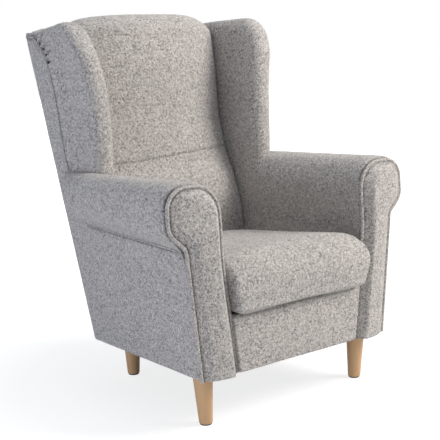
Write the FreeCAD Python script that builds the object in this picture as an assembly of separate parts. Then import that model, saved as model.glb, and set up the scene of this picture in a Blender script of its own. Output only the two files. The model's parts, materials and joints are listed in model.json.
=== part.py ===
import FreeCAD, Part
import math
import os

# Wingback armchair: beech legs, timber frame, sprung seat, padded arms, wings and back, loose seat cushion.
# Millimetres. +Z is up and the front looks toward -Y. While the chair is drawn, y = 0 is the front of the
# arm frames; at the end the whole chair is moved so that the origin lies on the floor under its middle.
# "Right" is the side of +X, "left" the side of -X.

Vector = FreeCAD.Vector
os.makedirs("parts", exist_ok=True)
FAR = 2000.0

# Heights above the floor
UNDERSIDE = 133.0
FRAME_FLOOR = UNDERSIDE + 19.0
SEAT_FRONT_HEIGHT = 290.0
ARM_TOP_FRONT = 618.0
ARM_TOP_REAR = 601.0
ROLL_HEIGHT_FRONT = 163.0
ROLL_HEIGHT_REAR = 137.0
ARM_SEAM_FRONT = ARM_TOP_FRONT - ROLL_HEIGHT_FRONT
ARM_SEAM_REAR = ARM_TOP_REAR - ROLL_HEIGHT_REAR
BACK_TOP = 1021.0
SCREEN_TOP = BACK_TOP - 55.0
WING_TOP = BACK_TOP - 16.0

# Plan of the body, at the underside and at the level where the back edge was measured
LEAN_LEVEL = 945.0
FRONT_HALF = 316.0
FRONT_FLARE = 0.107
REAR_HALF_LOW = FRONT_HALF - 24.0
REAR_HALF_HIGH = FRONT_HALF + 14.0
REAR_LOW = 545.0
REAR_HIGH = 745.0
CORNER_LOW = 45.0
CORNER_HIGH = 30.0
LEAN = (REAR_HIGH - REAR_LOW) / (LEAN_LEVEL - UNDERSIDE)

# Cloth, boards and running clearances
COVER = 2.5
SKIN_GAP = 0.3
SOFT_GAP = 0.5
LINER = 3.0
FRAME_BOARD = 18.0
WING_BOARD = 15.0

# Arms
ARM_INNER = FRONT_HALF - 66.5
ARM_INNER_LOW = ARM_INNER - 25.0
ARM_PAD_FLOOR = SEAT_FRONT_HEIGHT - 26.0
ARM_INNER_KNEE = SEAT_FRONT_HEIGHT + 135.0
ARM_INNER_ROUND = 500.0
ARM_PAD_BACK = ARM_INNER + 22.5
ROLL_REACH_FRONT = FRONT_HALF + 90.0
ROLL_REACH_REAR = FRONT_HALF + 69.0
ROLL_UNDER_RISE = 46.0
ROLL_UNDER_ROUND = 44.0
ROLL_OUTER_ROUND = 56.0
ROLL_INNER_ROUND = 74.0
ROLL_REAR_END = 660.0
ROUND_ROOM = 0.97

# Facing panels and their piping
FACING_FRONT = -2.0
FACING_BACK = 9.5
FACING_INSET = 9.0
FACING_DROP = 12.0
FACING_FOOT_INNER = ARM_INNER_LOW - 13.5
WELT_RADIUS = 3.3
WELT_OFF = WELT_RADIUS + SKIN_GAP
BOARD_SET_IN = 8.0
BOARD_BACK = FACING_BACK + FRAME_BOARD

# Wings
WING_HALF = 33.0
WING_FLOOR = ARM_TOP_REAR - 53.0
WING_FOOT = ARM_TOP_REAR + 39.0
WING_CROWN = WING_TOP - 100.0
WING_NOSE_X = ARM_INNER + 36.5
WING_NOSE_FRONT = 425.0
WING_INNER = ARM_INNER + 1.0
WING_INNER_ROUND = 90.0
WING_BEHIND_PAD = 15.0

# Back pad
BACK_PAD_HALF = ARM_INNER - 1.0
BACK_ARM_GAP = 2.5
BACK_SEAM = ARM_TOP_REAR + 17.0
BACK_ROLL = BACK_TOP - 61.0
BACK_AT_SEAT = 142.0
BACK_SEAT_LEVEL = SEAT_FRONT_HEIGHT + 110.0
BACK_ABOVE_DECK = 5.0

# Seat
SEAT_TILT = 5.7
SEAT_FRONT = -35.0
CUSHION_FRONT = -38.0
CUSHION_HEIGHT = 128.0
CUSHION_CROWN = 16.0
CUSHION_HALF = ARM_INNER - 15.5
CUSHION_BACK_GAP = 17.0
CUSHION_DRAWN_IN = 16.0
DECK_PAD = 12.0
DECK_CLOTH = 1.5
DECK_HALF = ARM_INNER_LOW - 3.5
DECK_BEHIND = 30.0
SPRING_WIRE = 2.0
SPRING_COUNT = 5
SPRING_STEP = 84.0
SPRING_REACH = 20.0
SPRING_TURNS = 20
CLIP_SHEET = 1.2
CLIP_WIDTH = 14.0
CLIP_TAIL = 9.0
APRON_FRONT = -9.0
APRON_TOP = SEAT_FRONT_HEIGHT - 9.0
APRON_SIDE = 2 * WELT_OFF + SKIN_GAP
ZIP_HALF = 165.0
ZIP_FLOOR = 52.0
ZIP_WIDTH = 14.0
ZIP_SHEET = 1.6

# Timber frame
BACK_DEPTH = 46.0
POST_WIDTH = 42.0
FRONT_POST_X = (ARM_INNER + 26.5, ARM_INNER + 56.5)
FRONT_POST_DEPTH = 45.0
FRONT_RAIL_DEPTH = 25.0
REAR_RAIL_DEPTH = 27.0
REAR_RAIL_HEIGHT = 150.0
SEAT_DROP = 78.0
SIDE_RAIL_X = (ARM_INNER + 12.5, ARM_INNER + 34.5)
SIDE_RAIL_TOP = ARM_PAD_FLOOR - SOFT_GAP
ARM_RAIL_Z = (ARM_TOP_FRONT - 118.0, ARM_TOP_FRONT - 93.0)
ARM_RAIL_OUTER = FRONT_HALF + 14.0
LUMBAR_RAIL_Z = (SEAT_FRONT_HEIGHT + 40.0, SEAT_FRONT_HEIGHT + 96.0)
LUMBAR_RAIL_DEPTH = 25.0
TOP_RAIL_Z = (SCREEN_TOP - 68.0, SCREEN_TOP - SOFT_GAP)
WEBBING_BAND = 50.0
WEBBING_COUNT = 5
WEBBING_SHEET = 1.5
BACK_LINING = 1.2
SCREW_RADIUS = 2.2
SCREW_HEAD = 4.5
SCREW_SINK = 3.0
POST_SCREW = 52.0
RAIL_SCREW = 72.0

# Legs
LEG_TOP_RADIUS = 25.5
LEG_FOOT_RADIUS = 17.0
GLIDE_RADIUS = 15.5
GLIDE_HEIGHT = 3.5
FRONT_FOOT = (FRONT_HALF - 49.0, 58.0)
REAR_FOOT = (REAR_HALF_LOW - 129.0, REAR_LOW - 25.0)
FRONT_SPLAY = 6.0
REAR_SPLAY = 2.0
BOLT_RADIUS = 4.0
BOLT_IN_LEG = 38.0
BOLT_OVER_PLATE = 5.0
NUT_BARREL = BOLT_RADIUS + 1.2
NUT_BARREL_LENGTH = 11.0
NUT_RADIUS = 10.0
NUT_FLANGE = 1.5
POCKET_HEIGHT = 8.0
DUST_SHEET = 1.0
PLATE_FLOOR = UNDERSIDE + DUST_SHEET
FRONT_PLATE = (FRONT_FOOT[0] - 35.0, FRONT_FOOT[1] + 60.0)
REAR_PLATE = (REAR_FOOT[0] - 38.0, 66.0)


# Plan of the body as functions of height

def rear(z):
    """Rear plane of the body."""
    return REAR_LOW + (z - UNDERSIDE) * LEAN


def rear_half(z):
    """Half width of the body at its rear corners."""
    return REAR_HALF_LOW + (z - UNDERSIDE) * (REAR_HALF_HIGH - REAR_HALF_LOW) / (LEAN_LEVEL - UNDERSIDE)


def front_half(z):
    """Half width of the body at the front of the arms."""
    return FRONT_HALF + (z - UNDERSIDE) * FRONT_FLARE


def corner(z):
    """Radius of the rear corners in plan."""
    return CORNER_LOW + (z - UNDERSIDE) * (CORNER_HIGH - CORNER_LOW) / (LEAN_LEVEL - UNDERSIDE)


def side_x(y, z):
    """Outer face of the body at a place on its side."""
    share = y / (rear(z) - corner(z))
    return front_half(z) + (rear_half(z) - front_half(z)) * share


CUSHION_REAR = rear(BACK_SEAT_LEVEL) - BACK_AT_SEAT - CUSHION_BACK_GAP


# Paths of straight legs with rounded corners: each point is (a, b, corner radius)

def unit(a, b):
    """Direction of (a, b) with length one."""
    size = math.hypot(a, b)
    return a / size, b / size


def offset(points, distance, closed=True):
    """Move every leg to its left by a distance; the corner radii shrink or grow with it."""
    count = len(points)
    legs = []
    for i in range(count if closed else count - 1):
        a0, b0, _ = points[i]
        a1, b1, _ = points[(i + 1) % count]
        ua, ub = unit(a1 - a0, b1 - b0)
        legs.append((a0 - ub * distance, b0 + ua * distance, ua, ub))
    moved = []
    for i in range(count):
        radius = points[i][2]
        if not closed and i in (0, count - 1):
            leg = legs[0] if i == 0 else legs[-1]
            moved.append((points[i][0] - leg[3] * distance, points[i][1] + leg[2] * distance, 0))
            continue
        a0, b0, ua, ub = legs[i - 1]
        a1, b1, va, vb = legs[i]
        turn = ua * vb - ub * va
        run = ((a1 - a0) * vb - (b1 - b0) * va) / turn
        if radius:
            radius = max(radius - math.copysign(distance, turn), 0.6)
        moved.append((a0 + ua * run, b0 + ub * run, radius))
    return moved


def edges(points, place, closed=True):
    """Lines and tangent arcs through the points; place turns (a, b) into a Vector."""
    count = len(points)
    corners = []
    for i, (a, b, radius) in enumerate(points):
        if radius == 0 or (not closed and i in (0, count - 1)):
            corners.append(((a, b), (a, b), None))
            continue
        before = points[i - 1]
        after = points[(i + 1) % count]
        ua, ub = unit(before[0] - a, before[1] - b)
        va, vb = unit(after[0] - a, after[1] - b)
        half = math.acos(max(-1.0, min(1.0, ua * va + ub * vb))) / 2
        reach = radius / math.tan(half)
        ma, mb = unit(ua + va, ub + vb)
        depth = radius / math.sin(half) - radius
        start = (a + ua * reach, b + ub * reach)
        end = (a + va * reach, b + vb * reach)
        corners.append((start, end, (a + ma * depth, b + mb * depth)))
    result = []
    for i in range(count):
        start, end, middle = corners[i]
        if middle:
            result.append(Part.Arc(place(*start), place(*middle), place(*end)).toShape())
        if closed or i < count - 1:
            following = corners[(i + 1) % count][0]
            result.append(Part.LineSegment(place(*end), place(*following)).toShape())
    return result


def in_plan(z):
    """Outline in plan: (x, y) at a height."""
    return lambda a, b: Vector(a, b, z)


def across(y):
    """Outline seen from the front: (x, z) at a depth."""
    return lambda a, b: Vector(a, y, b)


def from_side(x):
    """Outline seen from the side: (y, z) at a place across the chair."""
    return lambda a, b: Vector(x, a, b)


def wire(points, place):
    """Closed wire through the rounded points."""
    return Part.Wire(edges(points, place))


def prism(points, place, along):
    """Closed outline pushed along a vector."""
    return Part.Face(wire(points, place)).extrude(along)


def loft(wires):
    """Solid with straight rulings through closed wires."""
    return Part.makeLoft(wires, True, True)


def block(x0, x1, y0, y1, z0, z1):
    """Box between two corners."""
    return Part.makeBox(x1 - x0, y1 - y0, z1 - z0, Vector(x0, y0, z0))


def rod(radius, x, y, z0, z1):
    """Upright cylinder."""
    return Part.makeCylinder(radius, z1 - z0, Vector(x, y, z0))


def mirrored(shape):
    """The same shape on the left side."""
    return shape.mirror(Vector(0, 0, 0), Vector(1, 0, 0))


def both(shape):
    """The shape and its mirror image."""
    return Part.makeCompound([shape, mirrored(shape)])


def tilted(shape):
    """Lean a level seat piece back about the lower front edge of the cushion."""
    shape = shape.copy()
    shape.rotate(Vector(0, SEAT_FRONT, SEAT_FRONT_HEIGHT), Vector(1, 0, 0), -SEAT_TILT)
    return shape


def seat_block(x0, x1, y0, y1, h0, h1):
    """Block on the leaning seat plane; h is the height over the underside of the cushion."""
    return tilted(block(x0, x1, y0, y1, SEAT_FRONT_HEIGHT + h0, SEAT_FRONT_HEIGHT + h1))


def strip(path, thickness):
    """Closed outline of a band that lies to the left of an open path."""
    inner = offset(path, thickness, False)
    return path + inner[::-1]


# Envelope of the outer panels

ENVELOPE_TOP = WING_TOP + 5.0


def envelope_section(z, inset):
    """Plan of the outer panels at a height, drawn in by an inset."""
    half_front = front_half(z) - inset
    half_rear = rear_half(z) - inset
    back = rear(z) - inset
    radius = corner(z) - inset
    outline = [
        (-half_front, 0, 0), (half_front, 0, 0), (half_rear, back, radius), (-half_rear, back, radius),
    ]
    return wire(outline, in_plan(z))


def envelope(inset):
    """Body inside the outer panels."""
    return loft([envelope_section(UNDERSIDE, inset), envelope_section(ENVELOPE_TOP, inset)])


# Seam behind the wing: height, distance in front of the rear plane, rounding
WING_SEAM = (
    (ARM_SEAM_REAR, 124.5, 70),
    (WING_FOOT, 104.0, 150),
    (SCREEN_TOP - 166.0, 127.0, 300),
    (SCREEN_TOP - 51.0, 125.5, 60),
    (SCREEN_TOP, 74.0, 0),
)
SEAM_FRONT_ROUND = 38.0
BOARD_FRONT_ROUND = 20.0


def side_outline(front=FACING_BACK, floor=UNDERSIDE, front_round=SEAM_FRONT_ROUND):
    """Outer side panel seen from the side: front edge, seam under the roll, seam behind the wing, rear edge."""
    seam = [(rear(z) - ahead, z, rounding) for z, ahead, rounding in WING_SEAM]
    return [(front, floor, 0), (front, ARM_SEAM_FRONT, front_round)] + seam + [
        (rear(SCREEN_TOP) - corner(SCREEN_TOP), SCREEN_TOP, 0),
        (rear(floor) - corner(floor), floor, 0),
    ]


SKIN = envelope(0)
UNDER_SKIN = envelope(COVER)
UNDER_BOARD = envelope(COVER + SKIN_GAP + LINER)
INSIDE = envelope(COVER + LINER + 2 * SKIN_GAP)
SIDE_PRISM = prism(side_outline(), from_side(FRONT_HALF / 2), Vector(FAR, 0, 0))
SIDE_KEEP_OUT = prism(offset(side_outline(), SKIN_GAP), from_side(FRONT_HALF / 2), Vector(FAR, 0, 0)).cut(INSIDE)


def back_bar(half_low, half_high, near, far, z0, z1):
    """Bar across the leaning back, from a depth near the rear plane to a depth far in front of it."""
    sections = []
    for z, half in ((z0, half_low), (z1, half_high)):
        front = rear(z) - far
        back = rear(z) - near
        outline = [(-half, front, 0), (half, front, 0), (half, back, 0), (-half, back, 0)]
        sections.append(wire(outline, in_plan(z)))
    return loft(sections)


FRAME_REAR = COVER + SKIN_GAP
FRAME_FRONT = FRAME_REAR + BACK_DEPTH
PAD_REAR = FRAME_FRONT + WEBBING_SHEET + BACK_LINING + SKIN_GAP
FRAME_TOP = SCREEN_TOP - SOFT_GAP
REAR_ZONE = back_bar(FAR, FAR, -FAR, PAD_REAR, UNDERSIDE - 1, SCREEN_TOP)


def post_outer(z):
    """Outer face of a back post."""
    return rear_half(z) - COVER - LINER - 2 * SKIN_GAP


def post_inner(z):
    """Inner face of a back post."""
    return post_outer(z) - POST_WIDTH


def wing_board_x(z):
    """Inner face of the wing board where it meets the back post."""
    return post_outer(z) - WING_BOARD - 9


# Facing panels, scroll boards and welts

def limited(outer, inner, room):
    """Two rounds on one edge, both reduced alike where the edge is too short for them."""
    scale = min(1.0, ROUND_ROOM * room / (outer + inner))
    return outer * scale, inner * scale


def facing_outline():
    """Scroll front: narrow foot, roll that overhangs outward, round top, inner edge along the seat."""
    reach = ROLL_REACH_FRONT - FACING_INSET
    inner = ARM_INNER - 0.5
    top = ARM_TOP_FRONT - FACING_DROP
    outer_round, inner_round = limited(50, 72, reach - inner)
    return [
        (FRONT_HALF, UNDERSIDE, 0),
        (front_half(ARM_SEAM_FRONT), ARM_SEAM_FRONT + 11, 30),
        (reach, top - 100, 42),
        (reach, top, outer_round),
        (inner, top, inner_round),
        (inner, ARM_INNER_KNEE, ARM_INNER_ROUND),
        (FACING_FOOT_INNER, UNDERSIDE, 0),
    ]


FACING = facing_outline()


def facing_panel():
    """Flat upholstered panel on the front of the arm."""
    return prism(FACING, across(FACING_FRONT), Vector(0, FACING_BACK - FACING_FRONT, 0))


def scroll_board():
    """Plywood board behind the facing, set in from its edge."""
    outline = offset(FACING, BOARD_SET_IN)
    board = prism(outline, across(FACING_BACK), Vector(0, FRAME_BOARD, 0))
    return board.cut(block(0, FAR, 0, FAR, 0, UNDERSIDE + 1))


def scroll_welt():
    """Piping round the facing, from the underside over the scroll and down to the underside."""
    y = FACING_BACK - WELT_RADIUS - SKIN_GAP
    path = edges(offset(FACING, -WELT_OFF, False), across(y), False)
    start = path[0].Vertexes[0].Point
    direction = path[0].tangentAt(path[0].FirstParameter)
    ring = Part.Wire(Part.makeCircle(WELT_RADIUS, start, direction))
    return Part.Wire(path).makePipeShell([ring], True, False)


# Arms

def arm_path(y, drawn_in, inset=0.0):
    """Outer face of the arm: up from the seam round the roll, over the top and down the inner face."""
    share = (y - FACING_BACK) / (rear(ARM_SEAM_REAR) - FACING_BACK)
    top = ARM_TOP_FRONT + (ARM_TOP_REAR - ARM_TOP_FRONT) * share - drawn_in
    seam = ARM_SEAM_FRONT + (ARM_SEAM_REAR - ARM_SEAM_FRONT) * share
    reach = ROLL_REACH_FRONT + (ROLL_REACH_REAR - ROLL_REACH_FRONT) * share - drawn_in
    outer_round, inner_round = limited(ROLL_OUTER_ROUND, ROLL_INNER_ROUND, reach - ARM_INNER)
    path = [
        (side_x(y, seam) + SKIN_GAP, seam + SKIN_GAP, 0),
        (reach, seam + ROLL_UNDER_RISE + drawn_in / 2, ROLL_UNDER_ROUND),
        (reach, top, outer_round),
        (ARM_INNER, top, inner_round),
        (ARM_INNER, ARM_INNER_KNEE, ARM_INNER_ROUND),
        (ARM_INNER_LOW, ARM_PAD_FLOOR, 0),
    ]
    return offset(path, inset, False) if inset else path


# Place along the arm and how far the roll is drawn in there
ARM_STATIONS = (
    (FACING_BACK + SKIN_GAP, 7.0), (FACING_BACK + 5, 2.5), (FACING_BACK + 14, 0.0), (ROLL_REAR_END, 0.0),
)


def arm_cover():
    """Cloth over the arm, from the seam under the roll to the deck."""
    sections = []
    for y, drawn_in in ARM_STATIONS:
        sections.append(wire(strip(arm_path(y, drawn_in), COVER), across(y)))
    return loft(sections)


def arm_mass(inset, floor_gap=0.0):
    """Closed body of the arm inside its outer face."""
    sections = []
    for y, drawn_in in ARM_STATIONS:
        path = arm_path(y, drawn_in, inset)
        start = path[0]
        rim = start[1] + floor_gap
        closing = [(ARM_PAD_BACK, path[-1][1], 0), (ARM_PAD_BACK, rim, 0)]
        sections.append(wire([(start[0], rim, 0)] + path[1:] + closing, across(y)))
    return loft(sections)


# Wings

def wing_level(share):
    """Height on the upright stretch of the wing."""
    return WING_FOOT + (WING_CROWN - WING_FOOT) * share


# Height, inset at the crown, how far the nose flares outward, how far it is set back
WING_STATIONS = (
    (WING_FLOOR, 0.0, 0.0, 0.0),
    (WING_FOOT, 0.0, 0.0, 0.0),
    (wing_level(0.38), 0.0, 5.0, 3.0),
    (wing_level(0.75), 0.0, 20.0, 9.0),
    (WING_CROWN, 0.0, 36.0, 18.0),
    (WING_TOP - 55.0, 0.0, 47.0, 37.0),
    (WING_TOP - 25.0, 4.0, 51.0, 55.0),
    (WING_TOP - 7.0, 14.0, 52.0, 71.0),
    (WING_TOP, 25.0, 52.0, 80.0),
)


def wing_mass(inset):
    """Upright padded blade: full round nose in front, inner face, outer face, rear in the back plane."""
    sections = []
    for z, crown, flare, set_back in WING_STATIONS:
        level = z - (inset if crown else 0)
        back = rear(z) - FRAME_REAR
        nose_x = WING_NOSE_X + flare
        nose_front = WING_NOSE_FRONT + set_back
        outline = [
            (WING_INNER, back, 0),
            (WING_INNER, back_edge(z) - WING_BEHIND_PAD, WING_INNER_ROUND),
            (nose_x - WING_HALF, nose_front, WING_HALF - 1),
            (nose_x + WING_HALF, nose_front, WING_HALF - 1),
            (rear_half(z) - 0.5, back, corner(z) - 2),
        ]
        sections.append(wire(offset(outline, crown + inset), in_plan(level)))
    return loft(sections)


# Back pad

def arm_inner(z):
    """Inner face of the arm at a height."""
    share = min(1.0, (z - ARM_PAD_FLOOR) / (ARM_INNER_KNEE - ARM_PAD_FLOOR))
    return ARM_INNER_LOW + (ARM_INNER - ARM_INNER_LOW) * share


def deck_level(y):
    """Height of the top of the deck pad at a depth."""
    return SEAT_FRONT_HEIGHT - (y - SEAT_FRONT) * math.tan(math.radians(SEAT_TILT)) - SKIN_GAP


def back_level(share):
    """Height on the upright stretch of the back above the arms."""
    return ARM_TOP_REAR - 1 + (BACK_ROLL - ARM_TOP_REAR + 1) * share


# Height, share of the half width, thickness at the crown, thickness at the side edge, drawn in at the rear
BACK_STATIONS = (
    (deck_level(CUSHION_REAR + DECK_BEHIND) + BACK_ABOVE_DECK, 1.0, 102.0, 88.0, 0.0),
    (BACK_SEAT_LEVEL, 1.0, BACK_AT_SEAT, 125.0, 0.0),
    (BACK_SEAT_LEVEL + 55, 1.0, 153.5, 128.5, 0.0),
    (ARM_TOP_REAR - 61, 1.0, 158.0, 120.0, 0.0),
    (back_level(0.0), 1.0, 149.0, 104.0, 0.0),
    (back_level(0.28), 1.0, 152.0, 98.0, 0.0),
    (back_level(0.56), 1.0, 167.5, 111.5, 0.0),
    (back_level(0.83), 1.0, 183.0, 127.0, 0.0),
    (BACK_ROLL, 1.0, 187.0, 131.0, 0.0),
    (BACK_TOP - 31, 0.935, 184.0, 130.0, 6.0),
    (BACK_TOP - 13, 0.825, 176.5, 126.5, 20.0),
    (BACK_TOP - 4, 0.61, 163.0, 121.0, 42.0),
    (BACK_TOP, 0.37, 146.0, 114.0, 66.0),
)


def back_edge(z):
    """Front of the side edge of the back pad at a height."""
    for low, high in zip(BACK_STATIONS, BACK_STATIONS[1:]):
        if z <= high[0]:
            share = (z - low[0]) / (high[0] - low[0])
            return rear(z) - low[3] - (high[3] - low[3]) * share
    return rear(z) - BACK_STATIONS[-1][3]


def back_mass(inset):
    """Crowned pad between the wings, rolled over at its arched top."""
    sections = []
    for z, share, crown_thick, edge_thick, rolled in BACK_STATIONS:
        level = z - (inset if rolled else 0)
        crown = rear(z) - crown_thick
        edge = rear(z) - edge_thick
        beside_arm = arm_inner(z) - BACK_ARM_GAP if z < ARM_TOP_REAR else BACK_PAD_HALF
        half = min(BACK_PAD_HALF, beside_arm) * share
        back = rear(z) - FRAME_REAR - rolled
        shoulder = crown + (edge - crown) * 0.2
        outline = [
            (half, back, 0),
            (-half, back, 0),
            (-half, edge, 20 * share),
            (-half * 0.5, shoulder, 200 * share),
            (half * 0.5, shoulder, 200 * share),
            (half, edge, 20 * share),
        ]
        sections.append(wire(offset(outline, inset), in_plan(level)))
    return loft(sections)


# Seat cushion, drawn level and then leaned

# Place along the seat, inset of the outline, extra half width
CUSHION_STATIONS = (
    (CUSHION_FRONT, 30.0, 4.0),
    (CUSHION_FRONT + 3, 17.0, 5.0),
    (CUSHION_FRONT + 10, 7.0, 5.0),
    (CUSHION_FRONT + 22, 1.0, 4.0),
    (FACING_FRONT, 0.0, -3.5),
    (26.0, 0.0, -3.0),
    (220.0, 0.0, -2.0),
    (CUSHION_REAR - 26, 0.0, -5.0),
    (CUSHION_REAR - 8, 5.0, -6.0),
    (CUSHION_REAR, 16.0, -7.0),
)


def cushion_mass(inset):
    """Crowned cushion: sides drawn in below, a large round on its front and top edges."""
    sections = []
    for y, taken, wider in CUSHION_STATIONS:
        if y == CUSHION_STATIONS[0][0]:
            y += inset
        if y == CUSHION_STATIONS[-1][0]:
            y -= inset
        half = CUSHION_HALF + wider
        low = half - CUSHION_DRAWN_IN
        crown = CUSHION_HEIGHT + CUSHION_CROWN
        outline = [
            (-low, 0, 20), (low, 0, 20), (half, CUSHION_HEIGHT * 0.55, 120), (half, CUSHION_HEIGHT, 36),
            (0, crown, 2400), (-half, CUSHION_HEIGHT, 36), (-half, CUSHION_HEIGHT * 0.55, 120),
        ]
        raised = [(a, SEAT_FRONT_HEIGHT + b, rounding) for a, b, rounding in offset(outline, taken + inset)]
        sections.append(wire(raised, across(y)))
    return tilted(loft(sections))


# Levels of the seat suspension, measured down from the underside of the cushion

DECK_PAD_TOP = -SKIN_GAP
DECK_PAD_FLOOR = DECK_PAD_TOP - DECK_PAD
DECK_CLOTH_FLOOR = DECK_PAD_FLOOR - DECK_CLOTH
CLIP_TOP = DECK_CLOTH_FLOOR - SKIN_GAP / 2
WIRE_LEVEL = CLIP_TOP - CLIP_SHEET - SKIN_GAP / 2 - SPRING_WIRE
CLIP_FLOOR = WIRE_LEVEL - SPRING_WIRE - SKIN_GAP / 2 - CLIP_SHEET
RAIL_TOP_CUT = seat_block(-FAR, FAR, -FAR, FAR, CLIP_FLOOR, FAR)

SPRING_FRONT = BOARD_BACK + FRONT_RAIL_DEPTH * 0.55
SPRING_REAR = rear(SEAT_FRONT_HEIGHT - SEAT_DROP) - FRAME_REAR - REAR_RAIL_DEPTH / 2


def seat_spring(x):
    """One sinuous wire: straight runs across, joined by half turns, from the front rail to the rear rail."""
    step = (SPRING_REAR - SPRING_FRONT) / SPRING_TURNS
    bend = step / 2
    z = SEAT_FRONT_HEIGHT + WIRE_LEVEL
    pieces = []
    side = 1
    for i in range(SPRING_TURNS + 1):
        y = SPRING_FRONT + i * step
        run_start = Vector(x - side * SPRING_REACH, y, z)
        run_end = Vector(x + side * SPRING_REACH, y, z)
        pieces.append(Part.LineSegment(run_start, run_end).toShape())
        if i < SPRING_TURNS:
            outer = Vector(x + side * (SPRING_REACH + bend), y + bend, z)
            after = Vector(x + side * SPRING_REACH, y + step, z)
            quarter = bend * math.sqrt(0.5)
            first = Vector(x + side * (SPRING_REACH + quarter), y + bend - quarter, z)
            second = Vector(x + side * (SPRING_REACH + quarter), y + bend + quarter, z)
            pieces.append(Part.Arc(run_end, first, outer).toShape())
            pieces.append(Part.Arc(outer, second, after).toShape())
        side = -side
    start = Vector(x - SPRING_REACH, SPRING_FRONT, z)
    ring = Part.Wire(Part.makeCircle(SPRING_WIRE, start, Vector(1, 0, 0)))
    return tilted(Part.Wire(pieces).makePipeShell([ring], True, False))


def spring_clip(x, y, opening):
    """Folded sheet clip: foot on the rail, fold behind the wire and tongue over it."""
    low = SEAT_FRONT_HEIGHT + CLIP_FLOOR
    high = SEAT_FRONT_HEIGHT + CLIP_TOP
    near = SPRING_WIRE + SKIN_GAP / 2
    fold = near + CLIP_SHEET
    points = [
        (y + opening * CLIP_TAIL, low, 0), (y - opening * fold, low, 0), (y - opening * fold, high, 0),
        (y + opening * near, high, 0), (y + opening * near, high - CLIP_SHEET, 0),
        (y - opening * near, high - CLIP_SHEET, 0), (y - opening * near, low + CLIP_SHEET, 0),
        (y + opening * CLIP_TAIL, low + CLIP_SHEET, 0),
    ]
    return tilted(prism(points, from_side(x - CLIP_WIDTH / 2), Vector(CLIP_WIDTH, 0, 0)))


SPRING_PLACES = [(i - (SPRING_COUNT - 1) / 2) * SPRING_STEP for i in range(SPRING_COUNT)]


# Legs and their fixings

LEGS = {
    "front": (FRONT_FOOT, FRONT_SPLAY),
    "rear": (REAR_FOOT, REAR_SPLAY),
}


def leg_top(name):
    """Centre of the top of a leg."""
    (x, y), splay = LEGS[name]
    return x + splay, y


def leg(name):
    """Round tapered leg, splayed outward, with a blind hole for its bolt."""
    (x, y), splay = LEGS[name]
    foot = Part.Wire(Part.makeCircle(LEG_FOOT_RADIUS, Vector(x, y, GLIDE_HEIGHT)))
    head = Part.Wire(Part.makeCircle(LEG_TOP_RADIUS, Vector(x + splay, y, UNDERSIDE)))
    x, y = leg_top(name)
    return loft([foot, head]).cut(rod(BOLT_RADIUS, x, y, UNDERSIDE - BOLT_IN_LEG, UNDERSIDE + 1))


def glide(name):
    """Round foot under a leg."""
    (x, y), _ = LEGS[name]
    return rod(GLIDE_RADIUS, x, y, 0, GLIDE_HEIGHT)


def bolt(name):
    """Bolt of a leg, up through its plate."""
    x, y = leg_top(name)
    return rod(BOLT_RADIUS, x, y, UNDERSIDE - BOLT_IN_LEG, FRAME_FLOOR + BOLT_OVER_PLATE)


def tee_nut(name):
    """Barrel in the plate under a round flange."""
    x, y = leg_top(name)
    body = rod(NUT_BARREL, x, y, FRAME_FLOOR - NUT_BARREL_LENGTH, FRAME_FLOOR)
    body = body.fuse(rod(NUT_RADIUS, x, y, FRAME_FLOOR, FRAME_FLOOR + NUT_FLANGE))
    return body.cut(rod(BOLT_RADIUS, x, y, 0, FAR)).removeSplitter()


def bolt_pocket(name):
    """Room over the plate for the nut and the end of the bolt."""
    x, y = leg_top(name)
    return rod(NUT_RADIUS + 1, x, y, FRAME_FLOOR - 1, FRAME_FLOOR + POCKET_HEIGHT)


POCKETS = Part.makeCompound([both(bolt_pocket(name)) for name in LEGS])


def leg_plate(name):
    """Board that a leg screws into, under the corner of the frame."""
    if name == "front":
        near, far = FRONT_PLATE
        outer = FRONT_POST_X[1]
        outline = [(near, BOARD_BACK, 0), (outer, BOARD_BACK, 0), (outer - 2, far, 0), (near, far, 0)]
    else:
        near, depth = REAR_PLATE
        outer = post_outer(UNDERSIDE) - 1
        back = rear(UNDERSIDE) - FRAME_REAR - SKIN_GAP
        front = back - depth
        outline = [(near, front, 0), (outer, front, 0), (outer, back, CORNER_LOW), (near, back, 0)]
    plate = prism(outline, in_plan(PLATE_FLOOR), Vector(0, 0, FRAME_FLOOR - PLATE_FLOOR))
    x, y = leg_top(name)
    plate = plate.cut(rod(BOLT_RADIUS, x, y, 0, FAR))
    return plate.cut(rod(NUT_BARREL, x, y, FRAME_FLOOR - NUT_BARREL_LENGTH, FAR))


# Screws that hold the frame

def screw(base, direction, length):
    """Countersunk screw with its head flush at the base."""
    head = Part.makeCone(SCREW_HEAD, SCREW_RADIUS, SCREW_SINK, base, direction)
    shank = Part.makeCylinder(SCREW_RADIUS, length, base, direction)
    return head.fuse(shank).removeSplitter()


def frame_screws():
    """Screws through the scroll boards into the front posts and through the back posts into their rails."""
    middle = sum(FRONT_POST_X) / 2
    screws = []
    for share in (0.17, 0.48, 0.8):
        z = FRAME_FLOOR + (ARM_RAIL_Z[0] - FRAME_FLOOR) * share
        screws.append(screw(Vector(middle, FACING_BACK, z), Vector(0, 1, 0), POST_SCREW))
    for z in (TOP_RAIL_Z[0] + 18, LUMBAR_RAIL_Z[0] + 28):
        y = rear(z) - BACK_DEPTH + 12
        screws.append(screw(Vector(post_outer(z), y, z), Vector(-1, 0, 0), RAIL_SCREW))
    return Part.makeCompound([both(one) for one in screws])


# Make every piece

pieces = {}
SCREWS = frame_screws()


def side_pair(name, shape):
    """Store a piece for the right side and its mirror image for the left side."""
    pieces[name + "_right"] = shape
    pieces[name + "_left"] = mirrored(shape)


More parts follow.
